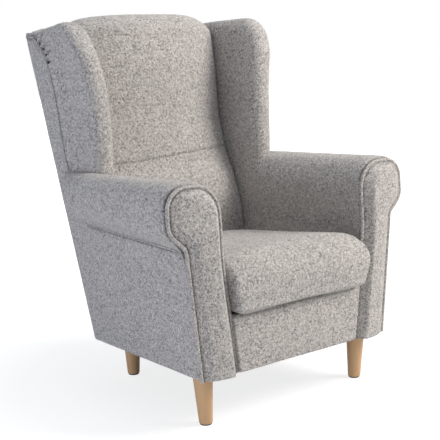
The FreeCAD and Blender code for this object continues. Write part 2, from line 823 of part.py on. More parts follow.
# Back frame
outline_posts = []
for z in (FRAME_FLOOR, FRAME_TOP):
    outline = [
        (post_inner(z), rear(z) - FRAME_FRONT, 0), (post_outer(z), rear(z) - FRAME_FRONT, 0),
        (post_outer(z), rear(z) - FRAME_REAR, min(corner(z) - 3, BACK_DEPTH - 3)),
        (post_inner(z), rear(z) - FRAME_REAR, 0),
    ]
    outline_posts.append(wire(outline, in_plan(z)))
back_post = loft(outline_posts)
side_pair("back_post", back_post.cut(SCREWS))

rear_rail = back_bar(
    post_inner(FRAME_FLOOR), post_inner(FRAME_FLOOR + REAR_RAIL_HEIGHT), FRAME_REAR,
    FRAME_REAR + REAR_RAIL_DEPTH, FRAME_FLOOR, FRAME_FLOOR + REAR_RAIL_HEIGHT,
)
pieces["rear_rail"] = rear_rail.cut(RAIL_TOP_CUT).cut(POCKETS)
z0, z1 = LUMBAR_RAIL_Z
lumbar_rail = back_bar(post_inner(z0), post_inner(z1), FRAME_FRONT - LUMBAR_RAIL_DEPTH, FRAME_FRONT, z0, z1)
pieces["lumbar_rail"] = lumbar_rail.cut(SCREWS)
z0, z1 = TOP_RAIL_Z
pieces["top_rail"] = back_bar(post_inner(z0), post_inner(z1), FRAME_REAR, FRAME_FRONT, z0, z1).cut(SCREWS)

# Seat frame and arm frames
front_rail = block(
    -FRONT_POST_X[0], FRONT_POST_X[0], BOARD_BACK, BOARD_BACK + FRONT_RAIL_DEPTH, FRAME_FLOOR,
    SEAT_FRONT_HEIGHT,
)
pieces["front_rail"] = front_rail.cut(RAIL_TOP_CUT).cut(POCKETS)
front_post = block(*FRONT_POST_X, BOARD_BACK, BOARD_BACK + FRONT_POST_DEPTH, FRAME_FLOOR, ARM_RAIL_Z[0])
side_pair("front_post", front_post.cut(POCKETS).cut(SCREWS))
BACK_FRAME_ZONE = back_bar(FAR, FAR, -FAR, FRAME_FRONT, UNDERSIDE, SCREEN_TOP)
side_rail = block(*SIDE_RAIL_X, BOARD_BACK + FRONT_POST_DEPTH, REAR_LOW, FRAME_FLOOR, SIDE_RAIL_TOP)
side_pair("side_rail", side_rail.cut(BACK_FRAME_ZONE).cut(POCKETS))
side_pair("scroll_board", scroll_board().cut(SCREWS))
arm_rail = block(FRONT_POST_X[0], ARM_RAIL_OUTER, BOARD_BACK, rear(ARM_RAIL_Z[1]), *ARM_RAIL_Z)
arm_rail = arm_rail.cut(BACK_FRAME_ZONE).cut(SIDE_KEEP_OUT)
side_pair("arm_rail", arm_rail)

# Wing boards stand on the arm rails in front of the back posts
wing_board_sections = []
for z, set_back, flare in ((ARM_RAIL_Z[1], 45, 0), (wing_level(0.38), 45, 3), (WING_TOP - 75, 87, 35)):
    nose = WING_NOSE_FRONT + set_back
    x_front = WING_NOSE_X - 5 + flare
    back = rear(z) - FRAME_FRONT
    x_rear = wing_board_x(z)
    outline = [
        (x_front, nose, 0), (x_front + WING_BOARD, nose, 0), (x_rear + WING_BOARD, back, 0), (x_rear, back, 0),
    ]
    wing_board_sections.append(wire(outline, in_plan(z)))
wing_board = loft(wing_board_sections)
side_pair("wing_board", wing_board)

pieces["leg_plates"] = Part.makeCompound([both(leg_plate(name)) for name in LEGS])

# Boards behind the cloth
side_board_outline = side_outline(BOARD_BACK, PLATE_FLOOR, BOARD_FRONT_ROUND)
side_board = envelope(COVER + SKIN_GAP).cut(UNDER_BOARD)
side_board = side_board.common(prism(side_board_outline, from_side(FRONT_HALF / 2), Vector(FAR, 0, 0)))
side_pair("side_board", side_board)
arm_liner = block(ARM_PAD_BACK + SKIN_GAP, ARM_PAD_BACK + LINER, BOARD_BACK, FAR, SIDE_RAIL_TOP, ARM_SEAM_FRONT)
side_pair("arm_liner", arm_liner.cut(REAR_ZONE))

# Seat suspension
pieces["seat_springs"] = Part.makeCompound([seat_spring(x) for x in SPRING_PLACES])
clips = []
for x in SPRING_PLACES:
    clips.append(spring_clip(x, SPRING_FRONT, 1))
    clips.append(spring_clip(x, SPRING_REAR, -1))
pieces["spring_clips"] = Part.makeCompound(clips)
deck_rear = SPRING_REAR + SPRING_WIRE * 3
pieces["deck_cloth"] = seat_block(-DECK_HALF, DECK_HALF, BOARD_BACK, deck_rear, DECK_CLOTH_FLOOR, DECK_PAD_FLOOR)
deck_pad = seat_block(
    -DECK_HALF, DECK_HALF, BOARD_BACK, CUSHION_REAR + DECK_BEHIND, DECK_PAD_FLOOR, DECK_PAD_TOP
)
pieces["deck_pad"] = deck_pad

# Back suspension
bands = []
band_pitch = (TOP_RAIL_Z[0] - LUMBAR_RAIL_Z[1]) / WEBBING_COUNT
for i in range(WEBBING_COUNT):
    low = LUMBAR_RAIL_Z[1] + band_pitch * (i + 0.5) - WEBBING_BAND / 2
    high = low + WEBBING_BAND
    reach_low = wing_board_x(low) - SOFT_GAP
    reach_high = wing_board_x(high) - SOFT_GAP
    bands.append(back_bar(reach_low, reach_high, FRAME_FRONT, FRAME_FRONT + WEBBING_SHEET, low, high))
pieces["back_webbing"] = Part.makeCompound(bands).cut(both(arm_rail))
lining_low = LUMBAR_RAIL_Z[0]
lining_near = FRAME_FRONT + WEBBING_SHEET
lining = back_bar(
    BACK_PAD_HALF, BACK_PAD_HALF, lining_near, lining_near + BACK_LINING, lining_low, TOP_RAIL_Z[1] - 4
)
pieces["back_lining"] = lining

# Padding and covers of the back
back_outer = back_mass(0)
seam_cut = block(-FAR, FAR, -FAR, FAR, 0, BACK_SEAM)
back_cover = back_outer.cut(back_mass(COVER)).cut(REAR_ZONE)
pieces["back_cover_lower"] = back_cover.common(seam_cut)
pieces["back_cover_upper"] = back_cover.cut(seam_cut)
pieces["back_foam"] = back_mass(COVER + SOFT_GAP).cut(REAR_ZONE)

# Padding and covers of the arms
side_pair("arm_cover", arm_cover().cut(SIDE_KEEP_OUT).cut(REAR_ZONE).cut(wing_board))
arm_pad = arm_mass(COVER + SOFT_GAP, 0.5).cut(SIDE_KEEP_OUT).cut(REAR_ZONE)
for taken in (scroll_board(), arm_rail, front_post, wing_board):
    arm_pad = arm_pad.cut(taken)
side_pair("arm_pad", arm_pad)
side_pair("facing_panel", facing_panel())
side_pair("scroll_welt", scroll_welt())

# Padding and covers of the wings
arm_clear = arm_mass(-SOFT_GAP)
wing_outer = wing_mass(0)
wing_cover = wing_outer.cut(wing_mass(COVER)).cut(REAR_ZONE).cut(SIDE_KEEP_OUT).cut(arm_clear)
side_pair("wing_cover", wing_cover)
wing_pad = wing_mass(COVER + SOFT_GAP).cut(REAR_ZONE).cut(SIDE_KEEP_OUT).cut(arm_clear).cut(wing_board)
side_pair("wing_pad", wing_pad)

# Outer panels
panel = SKIN.cut(UNDER_SKIN)
side_pair("side_panel", panel.common(SIDE_PRISM))
rear_region = [
    (rear(UNDERSIDE) - corner(UNDERSIDE) + SKIN_GAP, UNDERSIDE, 0),
    (rear(SCREEN_TOP) - corner(SCREEN_TOP) + SKIN_GAP, SCREEN_TOP, 0),
    (FAR, SCREEN_TOP, 0),
    (FAR, UNDERSIDE, 0),
]
pieces["rear_panel"] = panel.common(prism(rear_region, from_side(-FAR / 2), Vector(FAR, 0, 0)))
dust_outline = [
    (-FRONT_HALF + 8, BOARD_BACK, 0), (FRONT_HALF - 8, BOARD_BACK, 0),
    (REAR_HALF_LOW - COVER - 1, REAR_LOW - COVER - 1, CORNER_LOW),
    (-REAR_HALF_LOW + COVER + 1, REAR_LOW - COVER - 1, CORNER_LOW),
]
dust_cover = prism(dust_outline, in_plan(UNDERSIDE), Vector(0, 0, PLATE_FLOOR - UNDERSIDE))
for name in LEGS:
    dust_cover = dust_cover.cut(both(rod(BOLT_RADIUS, *leg_top(name), 0, FAR)))
pieces["dust_cover"] = dust_cover

# Front rail cover over its pad

def apron_section(z, inset):
    """Plan of the apron: flat back, slightly crowned front."""
    lean = (ARM_INNER - 0.5 - FACING_FOOT_INNER) / (ARM_INNER_KNEE - UNDERSIDE)
    half = FACING_FOOT_INNER + (z - UNDERSIDE) * lean - APRON_SIDE
    outline = [
        (half, BOARD_BACK, 0), (-half, BOARD_BACK, 0), (-half, APRON_FRONT + 4, 6),
        (-half / 2, APRON_FRONT, 1500), (half / 2, APRON_FRONT, 1500), (half, APRON_FRONT + 4, 6),
    ]
    return wire(offset(outline, inset), in_plan(z))


def apron_mass(inset):
    """Body of the apron with its top and bottom edges rounded."""
    levels = ((UNDERSIDE + inset, 3), (UNDERSIDE + 10, 0), (APRON_TOP - 12, 0), (APRON_TOP - inset, 7))
    return loft([apron_section(z, inset + taken) for z, taken in levels])


pieces["apron_cover"] = apron_mass(0).cut(apron_mass(COVER)).cut(
    block(-FAR, FAR, BOARD_BACK - COVER - SKIN_GAP, FAR, UNDERSIDE + COVER, APRON_TOP - COVER)
)
pieces["apron_pad"] = apron_mass(COVER + SOFT_GAP)

# Seat cushion
cushion_outer = cushion_mass(0)
pieces["cushion_cover"] = cushion_outer.cut(cushion_mass(COVER))
pieces["cushion_foam"] = cushion_mass(COVER + SOFT_GAP)
pieces["cushion_zip"] = seat_block(
    -ZIP_HALF, ZIP_HALF, CUSHION_REAR, CUSHION_REAR + ZIP_SHEET, ZIP_FLOOR, ZIP_FLOOR + ZIP_WIDTH
)

# Legs
for name in LEGS:
    side_pair(name + "_leg", leg(name))
pieces["leg_glides"] = Part.makeCompound([both(glide(name)) for name in LEGS])
pieces["leg_bolts"] = Part.makeCompound([both(bolt(name)) for name in LEGS])
pieces["leg_nuts"] = Part.makeCompound([both(tee_nut(name)) for name in LEGS])
pieces["frame_screws"] = SCREWS

# Put the origin on the floor under the middle of the chair and write every piece
whole = Part.makeCompound(list(pieces.values())).optimalBoundingBox(False, False)
to_origin = Vector(0, -(whole.YMin + whole.YMax) / 2, 0)
for name, shape in pieces.items():
    solids = [solid.copy() for solid in shape.Solids]
    placed = solids[0] if len(solids) == 1 else Part.makeCompound(solids)
    placed.translate(to_origin)
    placed.exportStep(os.path.join("parts", name + ".step"))
print("pieces", len(pieces), "depth", round(whole.YLength, 1), "front at", round(whole.YMin, 1))
for name, shape in pieces.items():
    print(name, len(shape.Solids), shape.isValid(), round(shape.Volume / 1000, 1))
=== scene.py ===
"""Wingback armchair in looped cloth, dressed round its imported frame, with a floor, lamps and a camera.

Metres throughout. +X is the chair's right side, the front looks toward -Y and +Z is up. Every soft form
is a grid of points worked out from a formula, closed into a shell, and roughened by the loops of its cloth.
"""

import json
import logging
import math
from dataclasses import dataclass
from enum import Enum
from typing import Any, Sequence

import bpy
import numpy as np
from mathutils import Matrix, Vector

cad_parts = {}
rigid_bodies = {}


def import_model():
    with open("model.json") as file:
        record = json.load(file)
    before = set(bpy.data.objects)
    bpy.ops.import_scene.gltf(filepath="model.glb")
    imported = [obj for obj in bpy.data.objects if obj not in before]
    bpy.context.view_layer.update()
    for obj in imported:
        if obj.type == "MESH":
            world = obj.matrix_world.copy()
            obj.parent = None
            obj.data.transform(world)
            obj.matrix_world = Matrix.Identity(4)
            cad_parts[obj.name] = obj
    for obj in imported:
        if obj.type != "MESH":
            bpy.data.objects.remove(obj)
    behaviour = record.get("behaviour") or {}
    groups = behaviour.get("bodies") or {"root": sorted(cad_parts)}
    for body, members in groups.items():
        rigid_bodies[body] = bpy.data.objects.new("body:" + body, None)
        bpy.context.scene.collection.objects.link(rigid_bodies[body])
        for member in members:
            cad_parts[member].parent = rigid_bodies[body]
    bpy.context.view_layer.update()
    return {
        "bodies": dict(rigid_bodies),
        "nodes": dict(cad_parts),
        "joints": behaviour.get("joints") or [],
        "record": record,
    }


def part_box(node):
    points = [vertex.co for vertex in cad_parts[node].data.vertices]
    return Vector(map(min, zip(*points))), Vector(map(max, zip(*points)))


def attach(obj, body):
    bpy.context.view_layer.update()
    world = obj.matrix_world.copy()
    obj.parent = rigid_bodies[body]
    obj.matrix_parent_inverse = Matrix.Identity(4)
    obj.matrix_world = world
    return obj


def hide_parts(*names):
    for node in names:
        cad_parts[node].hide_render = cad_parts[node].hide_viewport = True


Array = np.ndarray
Corner = tuple[float, float, float]
Colour = tuple[float, float, float]

LOG = logging.getLogger("armchair")
MM = 0.001
GRID_STEP = 2.6 * MM
SCREEN_STEP = 2.9 * MM
PIPING_STEP = 2.0 * MM
LEAST_ROUND = 0.6 * MM
WELD_CELL = 0.02 * MM
FAR = 1.0
ARC_STEPS = 24
SEAM_POINTS = 360
EDGE_POINTS = 500
BATCHES = 48
AXIS_MIX = np.array([73856093, 19349663, 83492791], dtype=np.uint64)
BIT_MIX = ((15, 2246822519), (13, 3266489917))
SALT_MIX = 40503
SALT_START = 977
SIXTEEN_BITS = 65535
FRAME_BODY = "frame"
CUSHION_BODY = "seat_cushion"


class Side(Enum):
    """The two sides of the chair; the value is the sign of x."""

    LEFT = -1
    RIGHT = 1

    @property
    def word(self) -> str:
        """Lower-case name, as the nodes carry it."""
        return self.name.lower()


# Curves

def through(stations: Sequence[Sequence[float]], at: Array) -> Array:
    """Smooth curve through stations that never overshoots them.

    Between two keys it is the cubic with given end slopes; the slope at a key is the harmonic mean of the
    slopes of its two neighbours, or zero where they differ in sign.

    Args:
        stations: Rows of a key and its values, with rising keys.
        at: Keys to read, of any shape.

    Returns:
        Values with the shape of at and one more axis for the columns of values.
    """
    table = np.asarray(stations, dtype=float)
    key = table[:, 0]
    values = table[:, 1:]
    step = np.diff(key)[:, None]
    slope = np.diff(values, axis=0) / step
    product = slope[:-1] * slope[1:]
    total = slope[:-1] + slope[1:]
    inner = np.where(product > 0, 2 * product / np.where(total == 0, 1, total), 0)
    tangent = np.vstack([slope[:1], inner, slope[-1:]])
    flat = np.clip(np.ravel(at), key[0], key[-1])
    low = np.clip(np.searchsorted(key, flat, side="right") - 1, 0, len(key) - 2)
    width = step[low]
    t = (flat - key[low])[:, None] / width
    result = (
        values[low] * (1 + 2 * t) * (1 - t) ** 2
        + tangent[low] * width * t * (1 - t) ** 2
        + values[low + 1] * t**2 * (3 - 2 * t)
        + tangent[low + 1] * width * t**2 * (t - 1)
    )
    return result.reshape(*np.shape(at), values.shape[1])


def smooth(value: Array | float, low: float, high: float) -> Array:
    """Zero below low, one above high, and the cubic t * t * (3 - 2 t) between them."""
    t = np.clip((np.asarray(value) - low) / (high - low), 0, 1)
    return t * t * (3 - 2 * t)


def quarter_round(share: Array) -> Array:
    """Height of a quarter circle, from 0 at share 0 to 1 at share 1 and beyond."""
    return np.sqrt(np.clip(1 - (1 - np.clip(share, 0, 1)) ** 2, 0, 1))


def rounded(corners: Sequence[Corner], closed: bool = False) -> Array:
    """Straight legs joined by tangent arcs, as a fine line of points in a plane.

    Args:
        corners: Points (a, b, radius); the ends of an open line keep no radius.
        closed: Whether the last leg runs back to the first corner.

    Returns:
        Points (n, 2); a closed line repeats its first point at the end.
    """
    spots = np.array([corner[:2] for corner in corners])
    last = len(corners) - 1
    line = []
    for i, (_, _, radius) in enumerate(corners):
        if radius <= 0 or (not closed and i in (0, last)):
            line.append(spots[i : i + 1])
            continue
        back = spots[i - 1] - spots[i]
        onward = spots[(i + 1) % len(corners)] - spots[i]
        back = back / np.linalg.norm(back)
        onward = onward / np.linalg.norm(onward)
        half = math.acos(float(np.clip(back @ onward, -1, 1))) / 2
        middle = (back + onward) / np.linalg.norm(back + onward)
        centre = spots[i] + middle * radius / math.sin(half)
        start = spots[i] + back * radius / math.tan(half) - centre
        end = spots[i] + onward * radius / math.tan(half) - centre
        first = math.atan2(start[1], start[0])
        turn = (math.atan2(end[1], end[0]) - first + math.pi) % (2 * math.pi) - math.pi
        angle = first + turn * np.linspace(0, 1, ARC_STEPS)
        line.append(centre + radius * np.column_stack([np.cos(angle), np.sin(angle)]))
    if closed:
        line.append(line[0][:1])
    return np.vstack(line)


def moved_in(corners: Sequence[Corner], distance: float) -> list[Corner]:
    """Closed outline moved to the left of its direction, with its rounds shrunk or grown alike.

    Args:
        corners: Corners (a, b, radius) of the outline.
        distance: How far each leg moves.

    Returns:
        Corners of the moved outline.
    """
    spots = np.array([corner[:2] for corner in corners])
    along = np.roll(spots, -1, axis=0) - spots
    along = along / np.linalg.norm(along, axis=1)[:, None]
    shifted = spots + distance * np.column_stack([-along[:, 1], along[:, 0]])
    moved = []
    for i, (_, _, radius) in enumerate(corners):
        u = along[i - 1]
        v = along[i]
        turn = u[0] * v[1] - u[1] * v[0]
        gap = shifted[i] - shifted[i - 1]
        run = (gap[0] * v[1] - gap[1] * v[0]) / turn
        spot = shifted[i - 1] + u * run
        kept = max(radius - math.copysign(distance, turn), LEAST_ROUND) if radius else 0.0
        moved.append((float(spot[0]), float(spot[1]), kept))
    return moved


def evenly(line: Array, count: int) -> Array:
    """The same line read at evenly spaced places along it.

    Args:
        line: Points (n, k).
        count: How many points to return, ends included.

    Returns:
        Points (count, k).
    """
    leg = np.linalg.norm(np.diff(line, axis=0), axis=1)
    run = np.concatenate([[0], np.cumsum(leg)])
    at = np.linspace(0, run[-1], count)
    return np.column_stack([np.interp(at, run, line[:, k]) for k in range(line.shape[1])])


def length_of(line: Array) -> float:
    """Length of a line of points."""
    return float(np.linalg.norm(np.diff(line, axis=0), axis=1).sum())


def steps_for(length: float, step: float = GRID_STEP) -> int:
    """Number of grid points along a length."""
    return max(3, int(round(length / step)) + 1)


def distance_to(line: Array, spots: Array) -> Array:
    """Distance from each spot to the nearest point of a fine line.

    Args:
        line: Points (n, 2).
        spots: Places (..., 2).

    Returns:
        Distances with the shape of spots without its last axis.
    """
    parts = np.array_split(spots.reshape(-1, 2), BATCHES)
    near = [np.linalg.norm(part[:, None] - line[None], axis=2).min(axis=1) for part in parts]
    return np.concatenate(near).reshape(spots.shape[:-1])


def seam_shaded(loops: Array, away: Array, width: float = 0.0042, share: float = 0.85) -> Array:
    """Painted shade beside a seam: the loop value that the cloth's colour reads is lowered by a bell curve of
    the distance to it, which darkens the colour; the shape is not moved.

    Args:
        loops: Height of the loops at each point.
        away: Distance of each point to the seam.
        width: Width of the curve.
        share: How much of the value is lost in the seam itself, as painted shade.

    Returns:
        The lowered values, which darken the cloth's colour.
    """
    return loops * (1 - share * np.exp(-((away / width) ** 2)))


def left_normals(line: Array) -> Array:
    """Unit vectors to the left of a plane line at each of its points.

    Args:
        line: Points (n, 2).

    Returns:
        Unit vectors (n, 2).
    """
    along = np.gradient(line, axis=0)
    along = along / np.maximum(np.linalg.norm(along, axis=1), 1e-12)[:, None]
    return np.column_stack([-along[:, 1], along[:, 0]])


# Cloth pile

@dataclass(frozen=True)
class Pile:
    """Looped pile of the cloth, worked out from seeded values on a cubic lattice."""

    loop: float = 3.4 * MM
    height: float = 1.9 * MM
    wander: float = 3.0 * MM
    crumb_size: float = 0.55
    crest_share: float = 0.62
    crumb_share: float = 0.5
    lowered: float = 0.06
    swell_pitch: float = 75 * MM
    swell: float = 1.4 * MM

    @staticmethod
    def lattice(points: Array, cell: float, salt: int) -> Array:
        """Random value from 0 to 1 at each lattice corner, eased between the eight corners of a cell.

        Args:
            points: Points (n, 3).
            cell: Edge of a lattice cell.
            salt: Picks one of many lattices.

        Returns:
            Values (n,).
        """
        spot = points / cell
        base = np.floor(spot)
        part = spot - base
        part = part * part * (3 - 2 * part)
        base = base.astype(np.int64)
        total = np.zeros(len(points))
        for corner in range(8):
            step = np.array([(corner >> axis) & 1 for axis in range(3)])
            weight = np.prod(np.where(step, part, 1 - part), axis=1)
            cells = (base + step).astype(np.uint64) * AXIS_MIX
            mixed = cells[:, 0] ^ cells[:, 1] ^ cells[:, 2] ^ np.uint64(salt * SALT_MIX + SALT_START)
            for shift, factor in BIT_MIX:
                mixed = (mixed ^ (mixed >> np.uint64(shift))) * np.uint64(factor)
            mixed = (mixed ^ (mixed >> np.uint64(16))) & np.uint64(SIXTEEN_BITS)
            total += weight * mixed / SIXTEEN_BITS
        return total

    def loops(self, points: Array) -> Array:
        """Height of the loops, from 0 in the gaps to 1 on the yarn.

        The places are bent by a slower lattice, then 1 - |2 v - 1| turns the values v of a fine lattice into
        thin winding crests, and a finer lattice breaks them up.

        Args:
            points: Points (n, 3).

        Returns:
            Heights (n,).
        """
        bend = [self.lattice(points, 2 * self.loop, salt) - 0.5 for salt in (1, 2, 3)]
        bent = points + self.wander * np.column_stack(bend)
        crest = 1 - np.abs(2 * self.lattice(bent, self.loop, 4) - 1)
        crumb = self.lattice(bent, self.crumb_size * self.loop, 5)
        return np.clip(self.crest_share * crest + self.crumb_share * crumb - self.lowered, 0, 1)

    def waves(self, points: Array) -> Array:
        """Slow unevenness of hand-stretched padding, about zero.

        Args:
            points: Points (n, 3).

        Returns:
            Values (n,).
        """
        slow = self.lattice(points, self.swell_pitch, 6)
        quicker = self.lattice(points, 0.4 * self.swell_pitch, 7)
        return slow + 0.5 * quicker - 0.75


PILE = Pile()


# Meshes

class Shell:
    """Mesh of one piece while it is being made from grids of points."""

    def __init__(self, front: float = 0.0) -> None:
        """Starts an empty shell.

        Args:
            front: Depth of the plane from which the grids count their depths.
        """
        self.front = front
        self.points = np.zeros((0, 3))
        self.quads = np.zeros((0, 4), dtype=np.int64)
        self.rings: list[Array] = []

    def grid(self, points: Array, wrap: bool = False) -> Array:
        """Adds a grid of quads.

        Args:
            points: Points (rows, columns, 3).
            wrap: Whether the last column joins the first.

        Returns:
            Index of each grid point in the mesh, (rows, columns).
        """
        rows, columns = points.shape[:2]
        index = np.arange(rows * columns).reshape(rows, columns) + len(self.points)
        around = np.column_stack([index, index[:, :1]]) if wrap else index
        quads = np.stack([around[:-1, :-1], around[:-1, 1:], around[1:, 1:], around[1:, :-1]], axis=-1)
        self.points = np.vstack([self.points, points.reshape(-1, 3)])
        self.quads = np.vstack([self.quads, quads.reshape(-1, 4)])
        return index

    def cap(self, ring: Array) -> None:
        """Closes a ring of point indices with one flat face; its order follows the grid's outward turn."""
        self.rings.append(ring)

    def closed(self, points: Array) -> None:
        """Adds rings and closes both ends; seen with the rows coming nearer, a ring runs counterclockwise.

        Args:
            points: Points (n, 3).
        """
        index = self.grid(points, wrap=True)
        self.cap(index[0][::-1])
        self.cap(index[-1])

    def mirrored(self, side: Side) -> "Shell":
        """Moves a shell that was made for the right side to the side named, in place.

        Args:
            side: Side of the chair that it is for.

        Returns:
            The same shell.
        """
        if side is Side.LEFT:
            self.points[:, 0] *= -1
            self.quads = self.quads[:, ::-1]
            self.rings = [ring[::-1] for ring in self.rings]
        return self

    def weld(self) -> None:
        """Joins points that lie on the same spot and drops faces that closed up."""
        spots = np.round(self.points / WELD_CELL).astype(np.int64)
        _, first, inverse = np.unique(spots, axis=0, return_index=True, return_inverse=True)
        inverse = inverse.reshape(-1)
        self.points = self.points[first]
        self.quads = inverse[self.quads]
        self.rings = [inverse[ring] for ring in self.rings]

    def normals(self) -> Array:
        """Unit normal of every point, from the crossed diagonals of its quads.

        Returns:
            Unit vectors (n, 3).
        """
        corners = self.points[self.quads]
        face = np.cross(corners[:, 2] - corners[:, 0], corners[:, 3] - corners[:, 1])
        total = np.zeros_like(self.points)
        for k in range(4):
            for axis in range(3):
                total[:, axis] += np.bincount(self.quads[:, k], face[:, axis], len(self.points))
        return total / np.maximum(np.linalg.norm(total, axis=1), 1e-12)[:, None]

    def area(self) -> float:
        """Area of the quads.

        Returns:
            The area.
        """
        corners = self.points[self.quads]
        face = np.cross(corners[:, 2] - corners[:, 0], corners[:, 3] - corners[:, 1])
        return float(np.linalg.norm(face, axis=1).sum() / 2)

    def pushed(self, distance: Array) -> "Shell":
        """Moves every point along its normal by its own distance."""
        self.points = self.points + self.normals() * distance[:, None]
        return self

    def piled(self, height: float = 1.0, swell: float = 1.0) -> Array:
        """Raises the cloth's loops on the shell, in place.

        Args:
            height: Share of the full height of the loops.
            swell: Share of the slow unevenness.

        Returns:
            The height of the loops at each point, from 0 to 1, for the finish.
        """
        loops = PILE.loops(self.points)
        lift = height * PILE.height * (loops - 0.5) + swell * PILE.swell * PILE.waves(self.points)
        self.pushed(lift)
        return loops

    def polygons(self) -> list[Array]:
        """Faces with three or four different corners, and the rings.

        Returns:
            Groups of faces with as many corners each.
        """
        following = np.roll(self.quads, -1, axis=1)
        keep = self.quads != following
        count = keep.sum(axis=1)
        whole = self.quads[count == 4]
        thin = self.quads[count == 3][keep[count == 3]].reshape(-1, 3)
        return [whole, thin] + [ring[None] for ring in self.rings]

    def object(self, name: str, loops: Array | None = None) -> bpy.types.Object:
        """Makes the Blender object of the shell.

        Args:
            name: Name of the object and its mesh.
            loops: Value of the attribute that the cloth finish reads, for each point.

        Returns:
            The object, linked to the scene.
        """
        mesh = bpy.data.meshes.new(name)
        groups = [group for group in self.polygons() if len(group)]
        corners = np.concatenate([group.ravel() for group in groups]).astype(np.int32)
        sizes = np.concatenate([np.full(len(group), group.shape[1], dtype=np.int32) for group in groups])
        starts = np.concatenate([[0], np.cumsum(sizes)[:-1]]).astype(np.int32)
        placed = self.points + (0, self.front, 0)
        mesh.vertices.add(len(placed))
        mesh.vertices.foreach_set("co", placed.astype(np.float32).ravel())
        mesh.loops.add(len(corners))
        mesh.loops.foreach_set("vertex_index", corners)
        mesh.polygons.add(len(sizes))
        mesh.polygons.foreach_set("loop_start", starts)
        mesh.polygons.foreach_set("use_smooth", np.ones(len(sizes), dtype=bool))
        mesh.update(calc_edges=True)
        mesh.validate()
        if loops is not None:
            # Where a piece lowered it beside seams, this value carries painted shade into the cloth's colour.
            layer = mesh.attributes.new("pile", "FLOAT", "POINT")
            layer.data.foreach_set("value", loops.astype(np.float32))
        made = bpy.data.objects.new(name, mesh)
        bpy.context.scene.collection.objects.link(made)
        return made


def put(
    made: bpy.types.Object, body: str, slot: str, finish: bpy.types.Material, *nodes: str
) -> bpy.types.Object:
    """Gives a piece its finish and its body, and hides the CAD nodes that it replaces.

    Args:
        made: The finished object.
        body: Body that it moves with.
        slot: Material slot of the record; not used.
        finish: Its material.
        *nodes: CAD nodes that it replaces.

    Returns:
        The same object.
    """
    made.data.materials.append(finish)
    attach(made, body)
    if nodes:
        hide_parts(*nodes)
    LOG.info("%s: %d points, %d faces", made.name, len(made.data.vertices), len(made.data.polygons))
    return made


def tube(path: Array, radius: float, ring: int = 12) -> Shell:
    """Round tube along a line in space, with closed ends.

    A point of it is the line's point plus radius times (cos a, sin a) in the two directions square to the
    line; the first direction is the part of a fixed one that is square to the line.

    Args:
        path: Points (n, 3).
        radius: Radius of the tube.
        ring: Points round the tube.

    Returns:
        The shell.
    """
    along = np.gradient(path, axis=0)
    along = along / np.linalg.norm(along, axis=1)[:, None]
    fixed = np.broadcast_to([0.0, 1.0, 0.0], along.shape)
    if abs(along[:, 1]).max() > 0.7:
        fixed = np.broadcast_to([1.0, 0.0, 0.0], along.shape)
    first = fixed - along * (fixed * along).sum(axis=1)[:, None]
    first = first / np.linalg.norm(first, axis=1)[:, None]
    second = np.cross(along, first)
    angle = np.linspace(0, 2 * math.pi, ring, endpoint=False)
    points = (
        path[:, None]
        + radius * np.cos(angle)[None, :, None] * first[:, None]
        + radius * np.sin(angle)[None, :, None] * second[:, None]
    )
    shell = Shell()
    shell.closed(points)
    return shell


# Shader recipes

class Wire:
    """Output of a shader node; arithmetic on it adds Math nodes."""

    def __init__(self, recipe: "Recipe", socket: bpy.types.NodeSocket) -> None:
        """Keeps the recipe and the socket."""
        self.recipe = recipe
        self.socket = socket

    def _math(self, operation: str, first: "Wire | float", second: "Wire | float") -> "Wire":
        """Adds one Math node."""
        return self.recipe.node("ShaderNodeMath", {"operation": operation}, {0: first, 1: second})

    def __add__(self, other: "Wire | float") -> "Wire":
        """Sum."""
        return self._math("ADD", self, other)

    def __radd__(self, other: float) -> "Wire":
        """Sum with a number in front."""
        return self._math("ADD", other, self)

    def __sub__(self, other: "Wire | float") -> "Wire":
        """Difference."""
        return self._math("SUBTRACT", self, other)

    def __rsub__(self, other: float) -> "Wire":
        """Difference from a number."""
        return self._math("SUBTRACT", other, self)

    def __mul__(self, other: "Wire | float") -> "Wire":
        """Product."""
        return self._math("MULTIPLY", self, other)

    def __rmul__(self, other: float) -> "Wire":
        """Product with a number in front."""
        return self._math("MULTIPLY", other, self)

    def __pow__(self, other: float) -> "Wire":
        """Power."""
        return self._math("POWER", self, other)

    def larger(self, other: "Wire") -> "Wire":
        """Larger of two values."""
        return self._math("MAXIMUM", self, other)

    def sine(self) -> "Wire":
        """Sine of an angle in radians."""
        return self._math("SINE", self, 0.0)

    def clamped(self) -> "Wire":
        """Value held between 0 and 1."""
        return self.recipe.node("ShaderNodeClamp", {}, {"Value": self})


